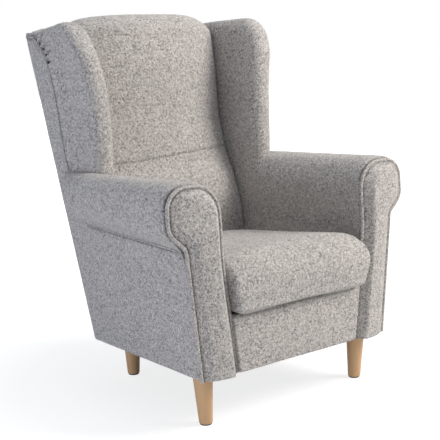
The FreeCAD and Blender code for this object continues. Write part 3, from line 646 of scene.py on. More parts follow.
class Recipe:
    """Node tree of one finish, or of the world."""

    def __init__(self, name: str, world: bool = False) -> None:
        """Starts an empty material or world.

        Args:
            name: Its name.
            world: Whether it is a world.
        """
        self.holder = bpy.data.worlds.new(name) if world else bpy.data.materials.new(name)
        self.holder.use_nodes = True
        self.tree = self.holder.node_tree
        self.tree.nodes.clear()
        self.last = "ShaderNodeOutputWorld" if world else "ShaderNodeOutputMaterial"

    def node(
        self,
        kind: str,
        settings: dict[str, Any] | None = None,
        sockets: dict[str | int, Any] | None = None,
        output: str | int | None = 0,
    ) -> Wire | None:
        """Adds a node.

        Args:
            kind: Blender's type name of the node.
            settings: Its settings, set first.
            sockets: Values or wires for its inputs, by name or index.
            output: Which output to return, or None where it has none.

        Returns:
            The chosen output.
        """
        made = self.tree.nodes.new(kind)
        for key, value in (settings or {}).items():
            setattr(made, key, value)
        for key, value in (sockets or {}).items():
            if isinstance(value, Wire):
                self.tree.links.new(value.socket, made.inputs[key])
            elif isinstance(value, tuple) and len(value) == 3 and made.inputs[key].type == "RGBA":
                made.inputs[key].default_value = (*value, 1)
            else:
                made.inputs[key].default_value = value
        return None if output is None else Wire(self, made.outputs[output])

    def place(self, scale: Colour = (1, 1, 1)) -> Wire:
        """Object coordinates, stretched."""
        spot = self.node("ShaderNodeTexCoord", {}, {}, "Object")
        return self.node("ShaderNodeMapping", {}, {"Vector": spot, "Scale": scale})

    def noise(
        self, spot: Wire, scale: float, detail: float = 3, roughness: float = 0.5, bend: float = 0
    ) -> Wire:
        """Noise value; scale is in cells per metre."""
        sockets = {"Vector": spot, "Scale": scale, "Detail": detail, "Roughness": roughness}
        return self.node("ShaderNodeTexNoise", {}, {**sockets, "Distortion": bend}, "Fac")

    def blend(self, share: Wire | float, first: Wire | Colour, second: Wire | Colour) -> Wire:
        """Mix of two colours."""
        settings = {"data_type": "RGBA", "blend_type": "MIX", "clamp_factor": True}
        return self.node("ShaderNodeMix", settings, {0: share, 6: first, 7: second}, 2)

    def axis(self, spot: Wire, name: str) -> Wire:
        """One coordinate of a place."""
        return self.node("ShaderNodeSeparateXYZ", {}, {"Vector": spot}, name)

    def bump(self, height: Wire, depth: float, strength: float = 1.0) -> Wire:
        """Normal bent by a height from 0 to 1 that stands for a depth."""
        return self.node("ShaderNodeBump", {}, {"Height": height, "Distance": depth, "Strength": strength})

    def surface(self, **sockets: Any) -> bpy.types.Material:
        """Principled shader with these sockets; an underscore in a name stands for a space.

        Args:
            **sockets: Values or wires for its inputs.

        Returns:
            The finished material.
        """
        named = {key.replace("_", " "): value for key, value in sockets.items()}
        self.end(self.node("ShaderNodeBsdfPrincipled", {}, named))
        return self.holder

    def end(self, shader: Wire) -> None:
        """Joins a shader to the output."""
        self.node(self.last, {}, {"Surface": shader}, None)


@dataclass(frozen=True)
class LoopedCloth:
    """Grey looped cloth: pale curled yarn, with painted shade in the gaps between the loops."""

    name: str = "looped_cloth"
    # Dark tone: painted shade in the gaps between the loops.
    gap_shade: Colour = (0.095, 0.09, 0.089)
    yarn: Colour = (0.82, 0.765, 0.715)
    curl_pitch: float = 2.8 * MM
    crumb_pitch: float = 1.6 * MM
    drift_pitch: float = 120 * MM
    relief: float = 2.2 * MM
    pile_share: float = 0.42
    curl_share: float = 1.2
    crumb_share: float = 0.45
    gap_level: float = 0.865
    contrast: float = 2.5
    drift_share: float = 0.16
    drift_tone: Colour = (0.30, 0.29, 0.30)

    def material(self) -> bpy.types.Material:
        """Colour follows the modelled loops and finer curls, with painted shade where they are low and in the
        seams; the curls also bend the normal.

        Returns:
            The material.
        """
        recipe = Recipe(self.name)
        spot = recipe.place()
        pile = recipe.node("ShaderNodeAttribute", {"attribute_name": "pile"}, {}, "Fac")
        curl = recipe.noise(spot, 1 / self.curl_pitch, 2, 0.5, 1.8)
        crumb = recipe.noise(spot, 1 / self.crumb_pitch, 2, 0.5)
        drift = recipe.noise(spot, 1 / self.drift_pitch, 2, 0.5)
        body = pile * self.pile_share + curl * self.curl_share + crumb * self.crumb_share
        # Where pile and curls are low the colour turns to the dark tone: painted shade between the loops and
        # beside the seams.
        share = ((body - self.gap_level) * self.contrast).clamped()
        colour = recipe.blend(share, self.gap_shade, self.yarn)
        toned = recipe.blend(drift * self.drift_share, colour, self.drift_tone)
        normal = recipe.bump(curl * 0.7 + crumb * 0.3, self.relief, 1.0)
        return recipe.surface(
            Base_Color=toned, Roughness=0.95, Normal=normal, Specular_IOR_Level=0.18, Sheen_Weight=0.22,
            Sheen_Roughness=0.5, Sheen_Tint=(0.9, 0.9, 0.92, 1.0),
        )


@dataclass(frozen=True)
class Wood:
    """Wood or board: fibres drawn out along one direction, with pores and slow bands."""

    name: str
    pale: Colour
    dark: Colour
    stretch: Colour
    roughness: float = 0.55
    coat: float = 0.0
    fibre_pitch: float = 2.2 * MM
    band_pitch: float = 22 * MM

    def material(self) -> bpy.types.Material:
        """Bands and fibres mix the two tones; pores roughen and dent the surface.

        Returns:
            The material.
        """
        recipe = Recipe(self.name)
        spot = recipe.place(self.stretch)
        band = recipe.noise(spot, 1 / self.band_pitch, 2, 0.5, 0.8)
        fibre = recipe.noise(spot, 1 / self.fibre_pitch, 4, 0.6)
        pore = recipe.node(
            "ShaderNodeTexVoronoi", {}, {"Vector": spot, "Scale": 1 / (1.6 * self.fibre_pitch)}, "Distance"
        )
        fleck = (1 - pore * 3.2).clamped() ** 2.0
        share = (band * 0.55 + fibre * 0.55 - 0.08).clamped()
        colour = recipe.blend(share, self.pale, self.dark)
        flecked = recipe.blend(fleck * 0.35, colour, self.dark)
        rough = fibre * 0.16 + (self.roughness - 0.08)
        normal = recipe.bump(fibre * 0.5 + fleck * 0.5, 0.12 * MM, 0.5)
        return recipe.surface(
            Base_Color=flecked, Roughness=rough, Normal=normal, Coat_Weight=self.coat, Coat_Roughness=0.25
        )


@dataclass(frozen=True)
class Woven:
    """Plain woven cloth: two crossed sets of threads."""

    name: str
    thread: Colour
    gap: Colour
    pitch: float
    roughness: float = 0.9

    def material(self) -> bpy.types.Material:
        """The product of two sine waves, one along each of two level directions, raises the threads.

        Returns:
            The material.
        """
        recipe = Recipe(self.name)
        spot = recipe.place()
        turn = 2 * math.pi / self.pitch
        warp = (recipe.axis(spot, "X") * turn).sine()
        up = recipe.axis(spot, "Y") + recipe.axis(spot, "Z")
        weft = (up * turn).sine()
        weave = warp * weft * 0.5 + 0.5
        fuzz = recipe.noise(spot, 0.7 / self.pitch, 3, 0.6)
        share = (weave * 0.7 + fuzz * 0.5 - 0.1).clamped()
        colour = recipe.blend(share, self.gap, self.thread)
        normal = recipe.bump(weave * 0.7 + fuzz * 0.3, 0.3 * MM, 0.7)
        return recipe.surface(Base_Color=colour, Roughness=self.roughness, Normal=normal, Sheen_Weight=0.15)


@dataclass(frozen=True)
class Cellular:
    """Foam: small open cells of two near tones."""

    name: str
    wall: Colour
    hollow: Colour
    cell: float = 1.4 * MM

    def material(self) -> bpy.types.Material:
        """Distance to the nearest cell centre darkens and dents the surface.

        Returns:
            The material.
        """
        recipe = Recipe(self.name)
        spot = recipe.place()
        hole = recipe.node("ShaderNodeTexVoronoi", {}, {"Vector": spot, "Scale": 1 / self.cell}, "Distance")
        slow = recipe.noise(spot, 14, 3, 0.5)
        share = (hole * 0.9 + slow * 0.3).clamped()
        colour = recipe.blend(share, self.hollow, self.wall)
        return recipe.surface(Base_Color=colour, Roughness=0.92, Normal=recipe.bump(hole, 0.4 * MM, 0.6))


@dataclass(frozen=True)
class Steel:
    """Steel wire, sheet or screws with fine scratches and dull patches."""

    name: str
    tone: Colour
    dull: Colour
    roughness: float

    def material(self) -> bpy.types.Material:
        """Scratches change the roughness, patches change the tone.

        Returns:
            The material.
        """
        recipe = Recipe(self.name)
        spot = recipe.place()
        patch = recipe.noise(spot, 90, 4, 0.6)
        scratch = recipe.noise(recipe.place((1, 1, 0.1)), 900, 2, 0.5)
        colour = recipe.blend(patch, self.tone, self.dull)
        rough = scratch * 0.2 + patch * 0.15 + (self.roughness - 0.15)
        normal = recipe.bump(scratch, 0.03 * MM, 0.4)
        return recipe.surface(Base_Color=colour, Metallic=1.0, Roughness=rough, Normal=normal)


@dataclass(frozen=True)
class Moulded:
    """Moulded plastic with a fine spark-eroded grain."""

    name: str
    tone: Colour
    worn: Colour
    roughness: float = 0.55

    def material(self) -> bpy.types.Material:
        """Fine grain dents the surface; slow patches show wear.

        Returns:
            The material.
        """
        recipe = Recipe(self.name)
        spot = recipe.place()
        grain = recipe.noise(spot, 1400, 2, 0.5)
        wear = (recipe.noise(spot, 120, 4, 0.7) * 2.2 - 0.9).clamped()
        colour = recipe.blend(wear * 0.6, self.tone, self.worn)
        rough = wear * 0.2 + self.roughness
        return recipe.surface(Base_Color=colour, Roughness=rough, Normal=recipe.bump(grain, 0.08 * MM, 0.5))


class Finishes:
    """Every finish of the chair, made once."""

    def __init__(self) -> None:
        """Makes the materials."""
        upright = (1.0, 1.0, 0.09)
        across = (0.09, 1.0, 1.0)
        even = (1.0, 1.0, 1.0)
        self.cloth = LoopedCloth().material()
        self.beech = Wood("beech", (0.70, 0.45, 0.245), (0.56, 0.325, 0.155), upright, 0.5, 0.18).material()
        self.lining = Woven("lining", (0.46, 0.45, 0.42), (0.2, 0.19, 0.18), 1.6 * MM).material()
        self.dust = Woven("dust_cloth", (0.035, 0.035, 0.04), (0.012, 0.012, 0.014), 2.2 * MM).material()
        self.glide = Moulded("glide", (0.052, 0.052, 0.056), (0.11, 0.11, 0.115)).material()
        self.by_slot = {
            "boucle": self.cloth,
            "welt": self.cloth,
            "beech": self.beech,
            "lining": self.lining,
            "dust_cloth": self.dust,
            "glide": self.glide,
            "timber": Wood("timber", (0.62, 0.44, 0.25), (0.45, 0.27, 0.12), across, 0.75).material(),
            "plywood": Wood("plywood", (0.66, 0.5, 0.31), (0.47, 0.32, 0.17), upright, 0.7).material(),
            "hardboard": Wood("hardboard", (0.2, 0.115, 0.06), (0.12, 0.065, 0.033), even, 0.6).material(),
            "foam": Cellular("foam", (0.78, 0.72, 0.5), (0.5, 0.43, 0.26)).material(),
            "spring_steel": Steel("spring_steel", (0.2, 0.2, 0.21), (0.1, 0.095, 0.09), 0.42).material(),
            "hardware_steel": Steel("zinc_steel", (0.6, 0.6, 0.58), (0.42, 0.42, 0.4), 0.35).material(),
            "webbing": Woven("webbing", (0.13, 0.085, 0.05), (0.04, 0.028, 0.018), 3.0 * MM).material(),
            "zip": Moulded("zip", (0.2, 0.19, 0.185), (0.3, 0.29, 0.28), 0.5).material(),
        }

    def dress_frame(self, frame: dict[str, Any]) -> None:
        """Gives every CAD node the finish of its slot in the record.
        """
        slots = {part["node"]: part["material_slot"] for part in frame["record"]["subparts"]}
        for name, node in frame["nodes"].items():
            finish = self.by_slot[slots[name]]
            if not node.material_slots:
                node.data.materials.append(finish)
            for holder in node.material_slots:
                holder.material = finish


# The chair

@dataclass(frozen=True)
class Body:
    """Sizes that several pieces share. Depths are counted from the front plane of the arms."""

    front: float
    underside: float
    arm_top_front: float
    screen_top: float
    wing_top: float
    back_top: float
    roll_reach: float
    arm_top_rear: float = 0.601
    lean_level: float = 0.945
    front_half: float = 0.316
    front_flare: float = 0.107
    rear_half_low: float = 0.292
    rear_half_high: float = 0.330
    rear_low: float = 0.545
    rear_high: float = 0.745
    corner_low: float = 0.045
    corner_high: float = 0.030
    roll_height_front: float = 0.163
    roll_height_rear: float = 0.137
    arm_inner: float = 0.2495
    arm_inner_low: float = 0.2245
    arm_floor: float = 0.264
    arm_knee: float = 0.425
    outer_from: float = 0.295
    apron_back: float = 0.0275
    cover_gap: float = 0.0028
    back_roll: float = 0.061
    wing_foot_rise: float = 0.039
    facing_foot: float = 0.211
    facing_back: float = 0.0095
    scroll_lean: float = 0.008
    seam_corner: float = 0.034

    @classmethod
    def of_frame(cls) -> "Body":
        """Reads the driving sizes from the frame's boxes.

        Returns:
            The shared sizes.
        """
        board_low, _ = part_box("scroll_board_right")
        panel_low, panel_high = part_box("rear_panel")
        _, arm_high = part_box("arm_cover_right")
        _, wing_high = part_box("wing_cover_right")
        _, back_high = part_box("back_cover_upper")
        return cls(
            front=float(board_low[1]) - cls.facing_back,
            underside=float(panel_low[2]),
            arm_top_front=float(arm_high[2]),
            screen_top=float(panel_high[2]) - 0.001,
            wing_top=float(wing_high[2]),
            back_top=float(back_high[2]),
            roll_reach=float(arm_high[0]),
        )

    def rise(self, z: Array | float) -> Array | float:
        """Share of the height from the underside to the level where the lean was measured."""
        return (z - self.underside) / (self.lean_level - self.underside)

    def rear(self, z: Array | float) -> Array | float:
        """Depth of the rear plane, which leans back steadily."""
        return self.rear_low + (self.rear_high - self.rear_low) * self.rise(z)

    def rear_half(self, z: Array | float) -> Array | float:
        """Half width at the rear corners."""
        return self.rear_half_low + (self.rear_half_high - self.rear_half_low) * self.rise(z)

    def corner(self, z: Array | float) -> Array | float:
        """Radius of the rear corners in plan."""
        return self.corner_low + (self.corner_high - self.corner_low) * self.rise(z)

    def side_x(self, y: Array | float, z: Array | float) -> Array | float:
        """Outer face of the side at a depth and a height: a straight line in plan from front to rear.

        Args:
            y: Depth or depths.
            z: Height or heights.

        Returns:
            Place across, counted from the middle.
        """
        front = self.front_half + (z - self.underside) * self.front_flare
        share = y / (self.rear(z) - self.corner(z))
        return front + (self.rear_half(z) - front) * share

    def seam_front(self) -> float:
        """Height of the seam under the roll at the front."""
        return self.arm_top_front - self.roll_height_front

    def seam_rear(self) -> float:
        """Height of the seam under the roll where it turns up behind the wing."""
        return self.arm_top_rear - self.roll_height_rear

    def wing_foot(self) -> float:
        """Height at which the wing meets the arm."""
        return self.arm_top_rear + self.wing_foot_rise

    def seam(self) -> Array:
        """Seam of the outer side as (depth, height).

        It runs up beside the scroll, under the roll and up behind the wing.

        Returns:
            Points (n, 2).
        """
        ahead = (
            (self.seam_rear(), 0.1245, 0.070),
            (self.wing_foot(), 0.104, 0.150),
            (self.screen_top - 0.165, 0.127, 0.300),
            (self.screen_top - 0.050, 0.1255, 0.060),
            (self.screen_top, 0.074, 0.0),
        )
        level = self.seam_front()
        corners = [(self.facing_back, level - self.seam_corner - 0.001, 0.0)]
        corners += [(self.facing_back, level, self.seam_corner)]
        corners += [(float(self.rear(z)) - depth, z, radius) for z, depth, radius in ahead]
        return rounded(corners)

    def seam_to_corner(self) -> Array:
        """The same seam carried on to the rear corner along the top of the outer cloth."""
        corner = [[float(self.rear(self.screen_top)), self.screen_top]]
        return evenly(np.vstack([self.seam(), corner]), SEAM_POINTS)

    def seam_drop(self, y: Array) -> Array:
        """How far the seam runs below its level near the scroll: a quarter circle."""
        left = np.clip((y - self.facing_back) / self.seam_corner, 0, 1)
        return self.seam_corner * (1 - quarter_round(left))

    def scroll_back(self, z: Array | float) -> Array:
        """How far the scroll fronts lean back at a height."""
        return self.scroll_lean * smooth(z, self.seam_front() - 0.03, self.arm_top_front)

    def facing(self) -> list[Corner]:
        """Outline of the scroll front as (x, z, radius), up its outer edge and down its inner edge.

        Returns:
            Corners of the outline.
        """
        reach = self.roll_reach - 0.009
        inner = self.arm_inner - 0.0005
        top = self.arm_top_front - 0.012
        seam = self.seam_front()
        return [
            (self.front_half, self.underside, 0.0),
            (self.front_half + (seam - self.underside) * self.front_flare, seam + 0.011, 0.030),
            (reach, top - 0.100, 0.042),
            (reach, top, 0.050),
            (inner, top, 0.072),
            (inner, self.arm_knee, 0.500),
            (self.facing_foot, self.underside, 0.0),
        ]


@dataclass(frozen=True)
class Arm:
    """Padded arm: a roll that overhangs the outer side, and the inner face down to the deck."""

    body: Body
    side: Side
    reach_rear: float = 0.380
    hidden_x: float = 0.272
    start: float = 0.0098
    hidden_end: float = 0.625
    behind: float = 0.010
    front_round: float = 0.016
    front_drawn: float = 0.010
    end_round: float = 0.115
    end_power: float = 3.5
    tuck: float = -0.0012
    fall: float = 0.050

    def section(self, share: float) -> list[Corner]:
        """Outer face of the arm in a cross section, at a share of the way to the rear plane.

        Args:
            share: Share of the way from the front section to the rear one.

        Returns:
            Corners of the section.
        """
        body = self.body
        seam = body.seam_front() + (body.seam_rear() - body.seam_front()) * share
        top = body.arm_top_front + (body.arm_top_rear - body.arm_top_front) * share
        reach = body.roll_reach + (self.reach_rear - body.roll_reach) * share
        depth = self.start + self.span() * share
        return [
            (float(body.side_x(depth, seam)) - self.tuck, seam, 0.0),
            (reach, seam + 0.046, 0.044),
            (reach, top, 0.056),
            (body.arm_inner, top, 0.074),
            (body.arm_inner, body.arm_knee, 0.500),
            (body.arm_inner_low, body.arm_floor, 0.0),
        ]

    def span(self) -> float:
        """Depth over which the cross section changes."""
        return float(self.body.rear(self.body.seam_rear())) - self.start

    def shell(self) -> Shell:
        """Loft between a front and a rear section.

        A point is the mix of the two sections at its share of the depth. At the front the face is drawn in
        along its normal by a quarter ellipse, and its lowest lines follow the seam down beside the scroll.
        Each outer line ends at the seam behind the wing, where its overhang over the side plane shrinks by
        the curve (1 - share ** end_power) ** (1 / end_power).

        Returns:
            The shell, on its side of the chair.
        """
        body = self.body
        first = rounded(self.section(0.0))
        count = steps_for(length_of(first))
        first = evenly(first, count)
        last = evenly(rounded(self.section(1.0)), count)
        seam = body.seam()
        upright = seam[np.argmax(seam[:, 1] > body.seam_rear() + 0.0005) :]
        seam_depth = np.interp(last[:, 1], upright[:, 1], upright[:, 0])
        seam_depth = np.minimum(seam_depth, np.interp(body.arm_top_rear, upright[:, 1], upright[:, 0]))
        outermost = int(np.argmax(last[:, 0]))
        hidden = smooth(-last[:, 0], -0.325, -0.285) * (np.arange(count) > outermost)
        inside = np.minimum(self.hidden_end, body.rear(last[:, 1]) - self.behind)
        end = seam_depth + (inside - seam_depth) * hidden
        begin = self.start + body.scroll_back(first[:, 1])
        rows = steps_for(self.hidden_end - self.start)
        share = np.linspace(0, 1, rows)[:, None]
        depth = begin + (end - begin) * share
        mix = (depth - self.start) / self.span()
        x = first[:, 0] + (last[:, 0] - first[:, 0]) * mix
        z = first[:, 1] + (last[:, 1] - first[:, 1]) * mix
        normal = left_normals(first)
        roll = 0.35 + 0.65 * smooth(first[:, 0], body.arm_inner, body.arm_inner + 0.03)
        drawn = self.front_drawn * roll * (1 - quarter_round((depth - begin) / self.front_round))
        x = x + normal[:, 0] * drawn
        z = z + normal[:, 1] * drawn
        climbed = np.linspace(0, length_of(first), count)
        fallen = body.seam_drop(depth) * (1 - smooth(climbed, 0, self.fall))
        x = x - body.front_flare * fallen
        z = z - fallen
        plane = body.side_x(depth, z) - self.tuck
        left = 1 - np.clip((end - depth) / self.end_round, 0, 1)
        left = (1 - left**self.end_power) ** (1 / self.end_power)
        x = np.where((x > plane) & (hidden < 0.5), plane + (x - plane) * left, x)
        surface = np.stack([x, depth, z], axis=-1)
        closing = np.stack(
            [
                np.broadcast_to(self.hidden_x, (rows, 2)),
                depth[:, [-1, 0]],
                np.column_stack([np.full(rows, body.arm_floor), z[:, 0]]),
            ],
            axis=-1,
        )
        shell = Shell(body.front)
        shell.closed(np.concatenate([surface, closing], axis=1)[::-1])
        return shell.mirrored(self.side)

    def build(self, finishes: Finishes) -> None:
        """Makes the arm's cover over its padding.

        Args:
            finishes: Every finish of the chair.
        """
        body = self.body
        shell = self.shell()
        x, y, z = shell.points.T
        away = distance_to(body.seam_to_corner(), shell.points[:, 1:])
        away = np.where(np.abs(x) > body.outer_from, away, FAR)
        # Painted shade: the cloth's colour is darkened along the seam of the outer side and along the front
        # edge beside the piping.
        loops = seam_shaded(shell.piled(), away)
        loops = seam_shaded(loops, y - self.start - body.scroll_back(z))
        name = self.side.word
        made = shell.object(f"arm_{name}", loops)
        put(made, FRAME_BODY, "boucle", finishes.cloth, f"arm_cover_{name}", f"arm_pad_{name}")


@dataclass(frozen=True)
class Wing:
    """Padded wing over the arm: a blade with a full round nose, and gathers at its top rear corner."""

    body: Body
    side: Side
    floor: float = 0.545
    half: float = 0.033
    nose_front: float = 0.425
    inner_round: float = 0.090
    behind_pad: float = 0.015
    drop_from: float = 0.500
    drop_run: float = 0.250
    drop_left: float = 0.033
    drop_right: float = 0.015
    seam_round: float = 0.010
    seam_reach: float = 0.055
    ridge: float = 0.0040
    lip: float = 0.0012
    under: float = 0.006
    gather_depth: float = 0.0075
    gather_width: float = 0.0042
    gather_length: float = 0.050
    gather_fall: float = 0.120
    gather_angles: tuple[float, ...] = (18.0, 34.0, 52.0, 66.0, 80.0, 96.0)
    gather_shares: tuple[float, ...] = (0.6, 0.9, 0.7, 1.1, 0.8, 1.0)
    ridge_from: float = 0.040
    ridge_full: float = 0.025
    fade_from: float = 0.060
    fade_to: float = 0.010
    outer_run: float = 0.020
    # Width and strength of the painted shade along the seam.
    seam_shade_width: float = 0.006
    seam_shade_share: float = 0.95

    def stations(self) -> list[Sequence[float]]:
        """Rows of run, height, inset at the crown, nose flare and nose set back.

        The run is the distance climbed.

        Returns:
            The rows, from the floor up.
        """
        top = self.body.wing_top
        foot = self.body.wing_foot()
        crown = top - 0.100
        rows = [
            (self.floor, 0.0, -0.004, 0.0),
            (foot, 0.0, -0.004, -0.002),
            (foot + 0.38 * (crown - foot), 0.0, -0.003, 0.0),
            (foot + 0.75 * (crown - foot), 0.0, 0.006, 0.006),
            (crown, 0.0, 0.021, 0.016),
            (top - 0.055, 0.0, 0.031, 0.036),
            (top - 0.025, 0.004, 0.035, 0.056),
            (top - 0.007, 0.014, 0.036, 0.074),
            (top - 0.001, 0.025, 0.036, 0.084),
            (top, 0.0315, 0.036, 0.089),
        ]
        table = []
        run = 0.0
        for i, row in enumerate(rows):
            if i:
                run += math.hypot(row[0] - rows[i - 1][0], row[1] - rows[i - 1][1])
            table.append((run, *row))
        return table

    def outline(self, z: float, inset: float, flare: float, set_back: float) -> list[Corner]:
        """Plan of the wing at a height, drawn in by an inset.

        Args:
            z: Height or heights.
            inset: How far the outline is drawn in.
            flare: How far the nose stands out to the side.
            set_back: How far the nose stands back.

        Returns:
            Corners of the plan.
        """
        body = self.body
        back = float(body.rear(z)) - body.cover_gap
        nose_x = body.arm_inner + 0.0365 + flare
        nose_y = self.nose_front + set_back
        corners = [
            (body.arm_inner + 0.001, back, 0.010),
            (body.arm_inner + 0.001, back_edge(body, z) - self.behind_pad, self.inner_round),
            (nose_x - self.half, nose_y, self.half - 0.0008),
            (nose_x + self.half, nose_y, self.half - 0.0008),
            (float(body.rear_half(z)) - 0.0005, back, float(body.corner(z)) - 0.002),
        ]
        return moved_in(corners, inset)

    def shell(self) -> Shell:
        """Plan outlines stacked along the climb over the crown, which sinks toward the rear.

        Returns:
            The shell, still on the right side.
        """
        body = self.body
        table = self.stations()
        climb = np.linspace(0, table[-1][0], steps_for(table[-1][0]))
        values = through(table, climb)
        start = rounded(self.outline(*values[0]), closed=True)
        count = steps_for(length_of(start))
        rows = []
        for z, inset, flare, set_back in values:
            ring = evenly(rounded(self.outline(z, inset, flare, set_back), closed=True), count)[:-1]
            rows.append(np.column_stack([ring, np.full(len(ring), z)]))
        points = np.stack(rows)
        high = smooth(points[:, :, 2], body.wing_top - 0.031, body.wing_top)
        behind = np.clip((points[:, :, 1] - self.drop_from) / self.drop_run, 0, 1.1)
        drop = self.drop_left if self.side is Side.LEFT else self.drop_right
        points[:, :, 2] -= drop * behind**1.3 * high
        points[:, :, 0] = self.tucked(points)
        shell = Shell(body.front)
        shell.closed(points)
        return shell

    def tucked(self, points: Array) -> Array:
        """Outer face fitted to the side plane at the seam.

        It rises toward the seam to a low ridge, comes down to the plane by a quarter ellipse at the seam
        itself, and lies below the outer cloth behind it.

        Args:
            points: Points (rows, columns, 3).

        Returns:
            New x of the points.
        """
        body = self.body
        seam = body.seam()
        x, y, z = np.moveaxis(points, -1, 0)
        away = distance_to(body.seam_to_corner(), points[..., 1:])
        behind = (y > np.interp(z, seam[:, 1], seam[:, 0])) & (z < body.screen_top)
        plane = body.side_x(y, z)
        faded = smooth(z, body.screen_top - self.fade_from, body.screen_top - self.fade_to)
        outer = smooth(x - plane, -self.ridge_from, -self.ridge_full) * (1 - faded)
        risen = x + np.maximum(plane + self.ridge - x, 0) * outer * (1 - smooth(away, 0, self.seam_reach))
        edge = plane + self.lip
        ahead = np.where(risen > edge, edge + (risen - edge) * quarter_round(away / self.seam_round), risen)
        return np.where(behind, np.minimum(x, plane - self.under), ahead)

    def gathers(self, points: Array) -> Array:
        """Depth of the pleats: narrow grooves that start on the seam behind the wing and fade forward.

        Args:
            points: Points (n, 3).

        Returns:
            Depths (n,).
        """
        body = self.body
        seam = body.seam()
        high = seam[seam[:, 1] > body.screen_top - self.gather_fall]
        starts = evenly(high, len(self.gather_angles))
        angles = np.radians(self.gather_angles)
        lengths = np.array(self.gather_shares) * self.gather_length
        total = np.zeros(len(points))
        for (y, z), angle, length in zip(starts, angles, lengths):
            toward = np.array([-math.cos(angle), math.sin(angle)])
            offset = points[:, 1:] - (y, z)
            along = offset @ toward
            across = offset @ np.array([-toward[1], toward[0]])
            groove = np.exp(-((across / self.gather_width) ** 2)) - 0.45 * np.exp(
                -(((np.abs(across) - 2.2 * self.gather_width) / self.gather_width) ** 2)
            )
            total += groove * smooth(along, -0.012, 0.002) * (1 - smooth(along, 0.25 * length, length))
        outer = smooth(points[:, 0], body.outer_from, body.outer_from + self.outer_run)
        return self.gather_depth * total * outer

    def build(self, finishes: Finishes) -> None:
        """Makes the wing's cover over its padding.

        Args:
            finishes: Every finish of the chair.
        """
        shell = self.shell()
        sunk = self.gathers(shell.points)
        shell.pushed(-sunk)
        away = distance_to(self.body.seam_to_corner(), shell.points[:, 1:])
        away = np.where(shell.points[:, 0] > self.body.outer_from, away, FAR)
        shell.mirrored(self.side)
        # Painted shade: the cloth's colour is darkened along the seam and in the pleats.
        loops = seam_shaded(shell.piled(), away, self.seam_shade_width, self.seam_shade_share)
        loops = loops * (1 - 0.6 * np.clip(sunk / self.gather_depth, 0, 1))
        name = self.side.word
        made = shell.object(f"wing_{name}", loops)
        put(made, FRAME_BODY, "boucle", finishes.cloth, f"wing_cover_{name}", f"wing_pad_{name}")


def back_table(body: Body) -> list[Sequence[float]]:
    """Rows of height, thickness at the crown and at the side edge of the back pad.

    Args:
        body: Sizes that the pieces share.

    Returns:
        The rows, from the floor up.
    """
    low = body.arm_top_rear - 0.001
    climb = body.back_top - body.back_roll - low
    return [
        (0.243, 0.102, 0.088),
        (0.400, 0.142, 0.125),
        (0.455, 0.1535, 0.1285),
        (body.arm_top_rear - 0.061, 0.158, 0.120),
        (low, 0.149, 0.104),
        (low + 0.28 * climb, 0.152, 0.098),
        (low + 0.56 * climb, 0.1675, 0.1115),
        (low + 0.83 * climb, 0.183, 0.127),
        (low + climb, 0.187, 0.131),
    ]


def back_edge(body: Body, z: float) -> float:
    """Depth of the front of the back pad's side edge."""
    level = np.array(min(z, body.back_top - body.back_roll))
    return float(body.rear(z) - through(back_table(body), level)[1])


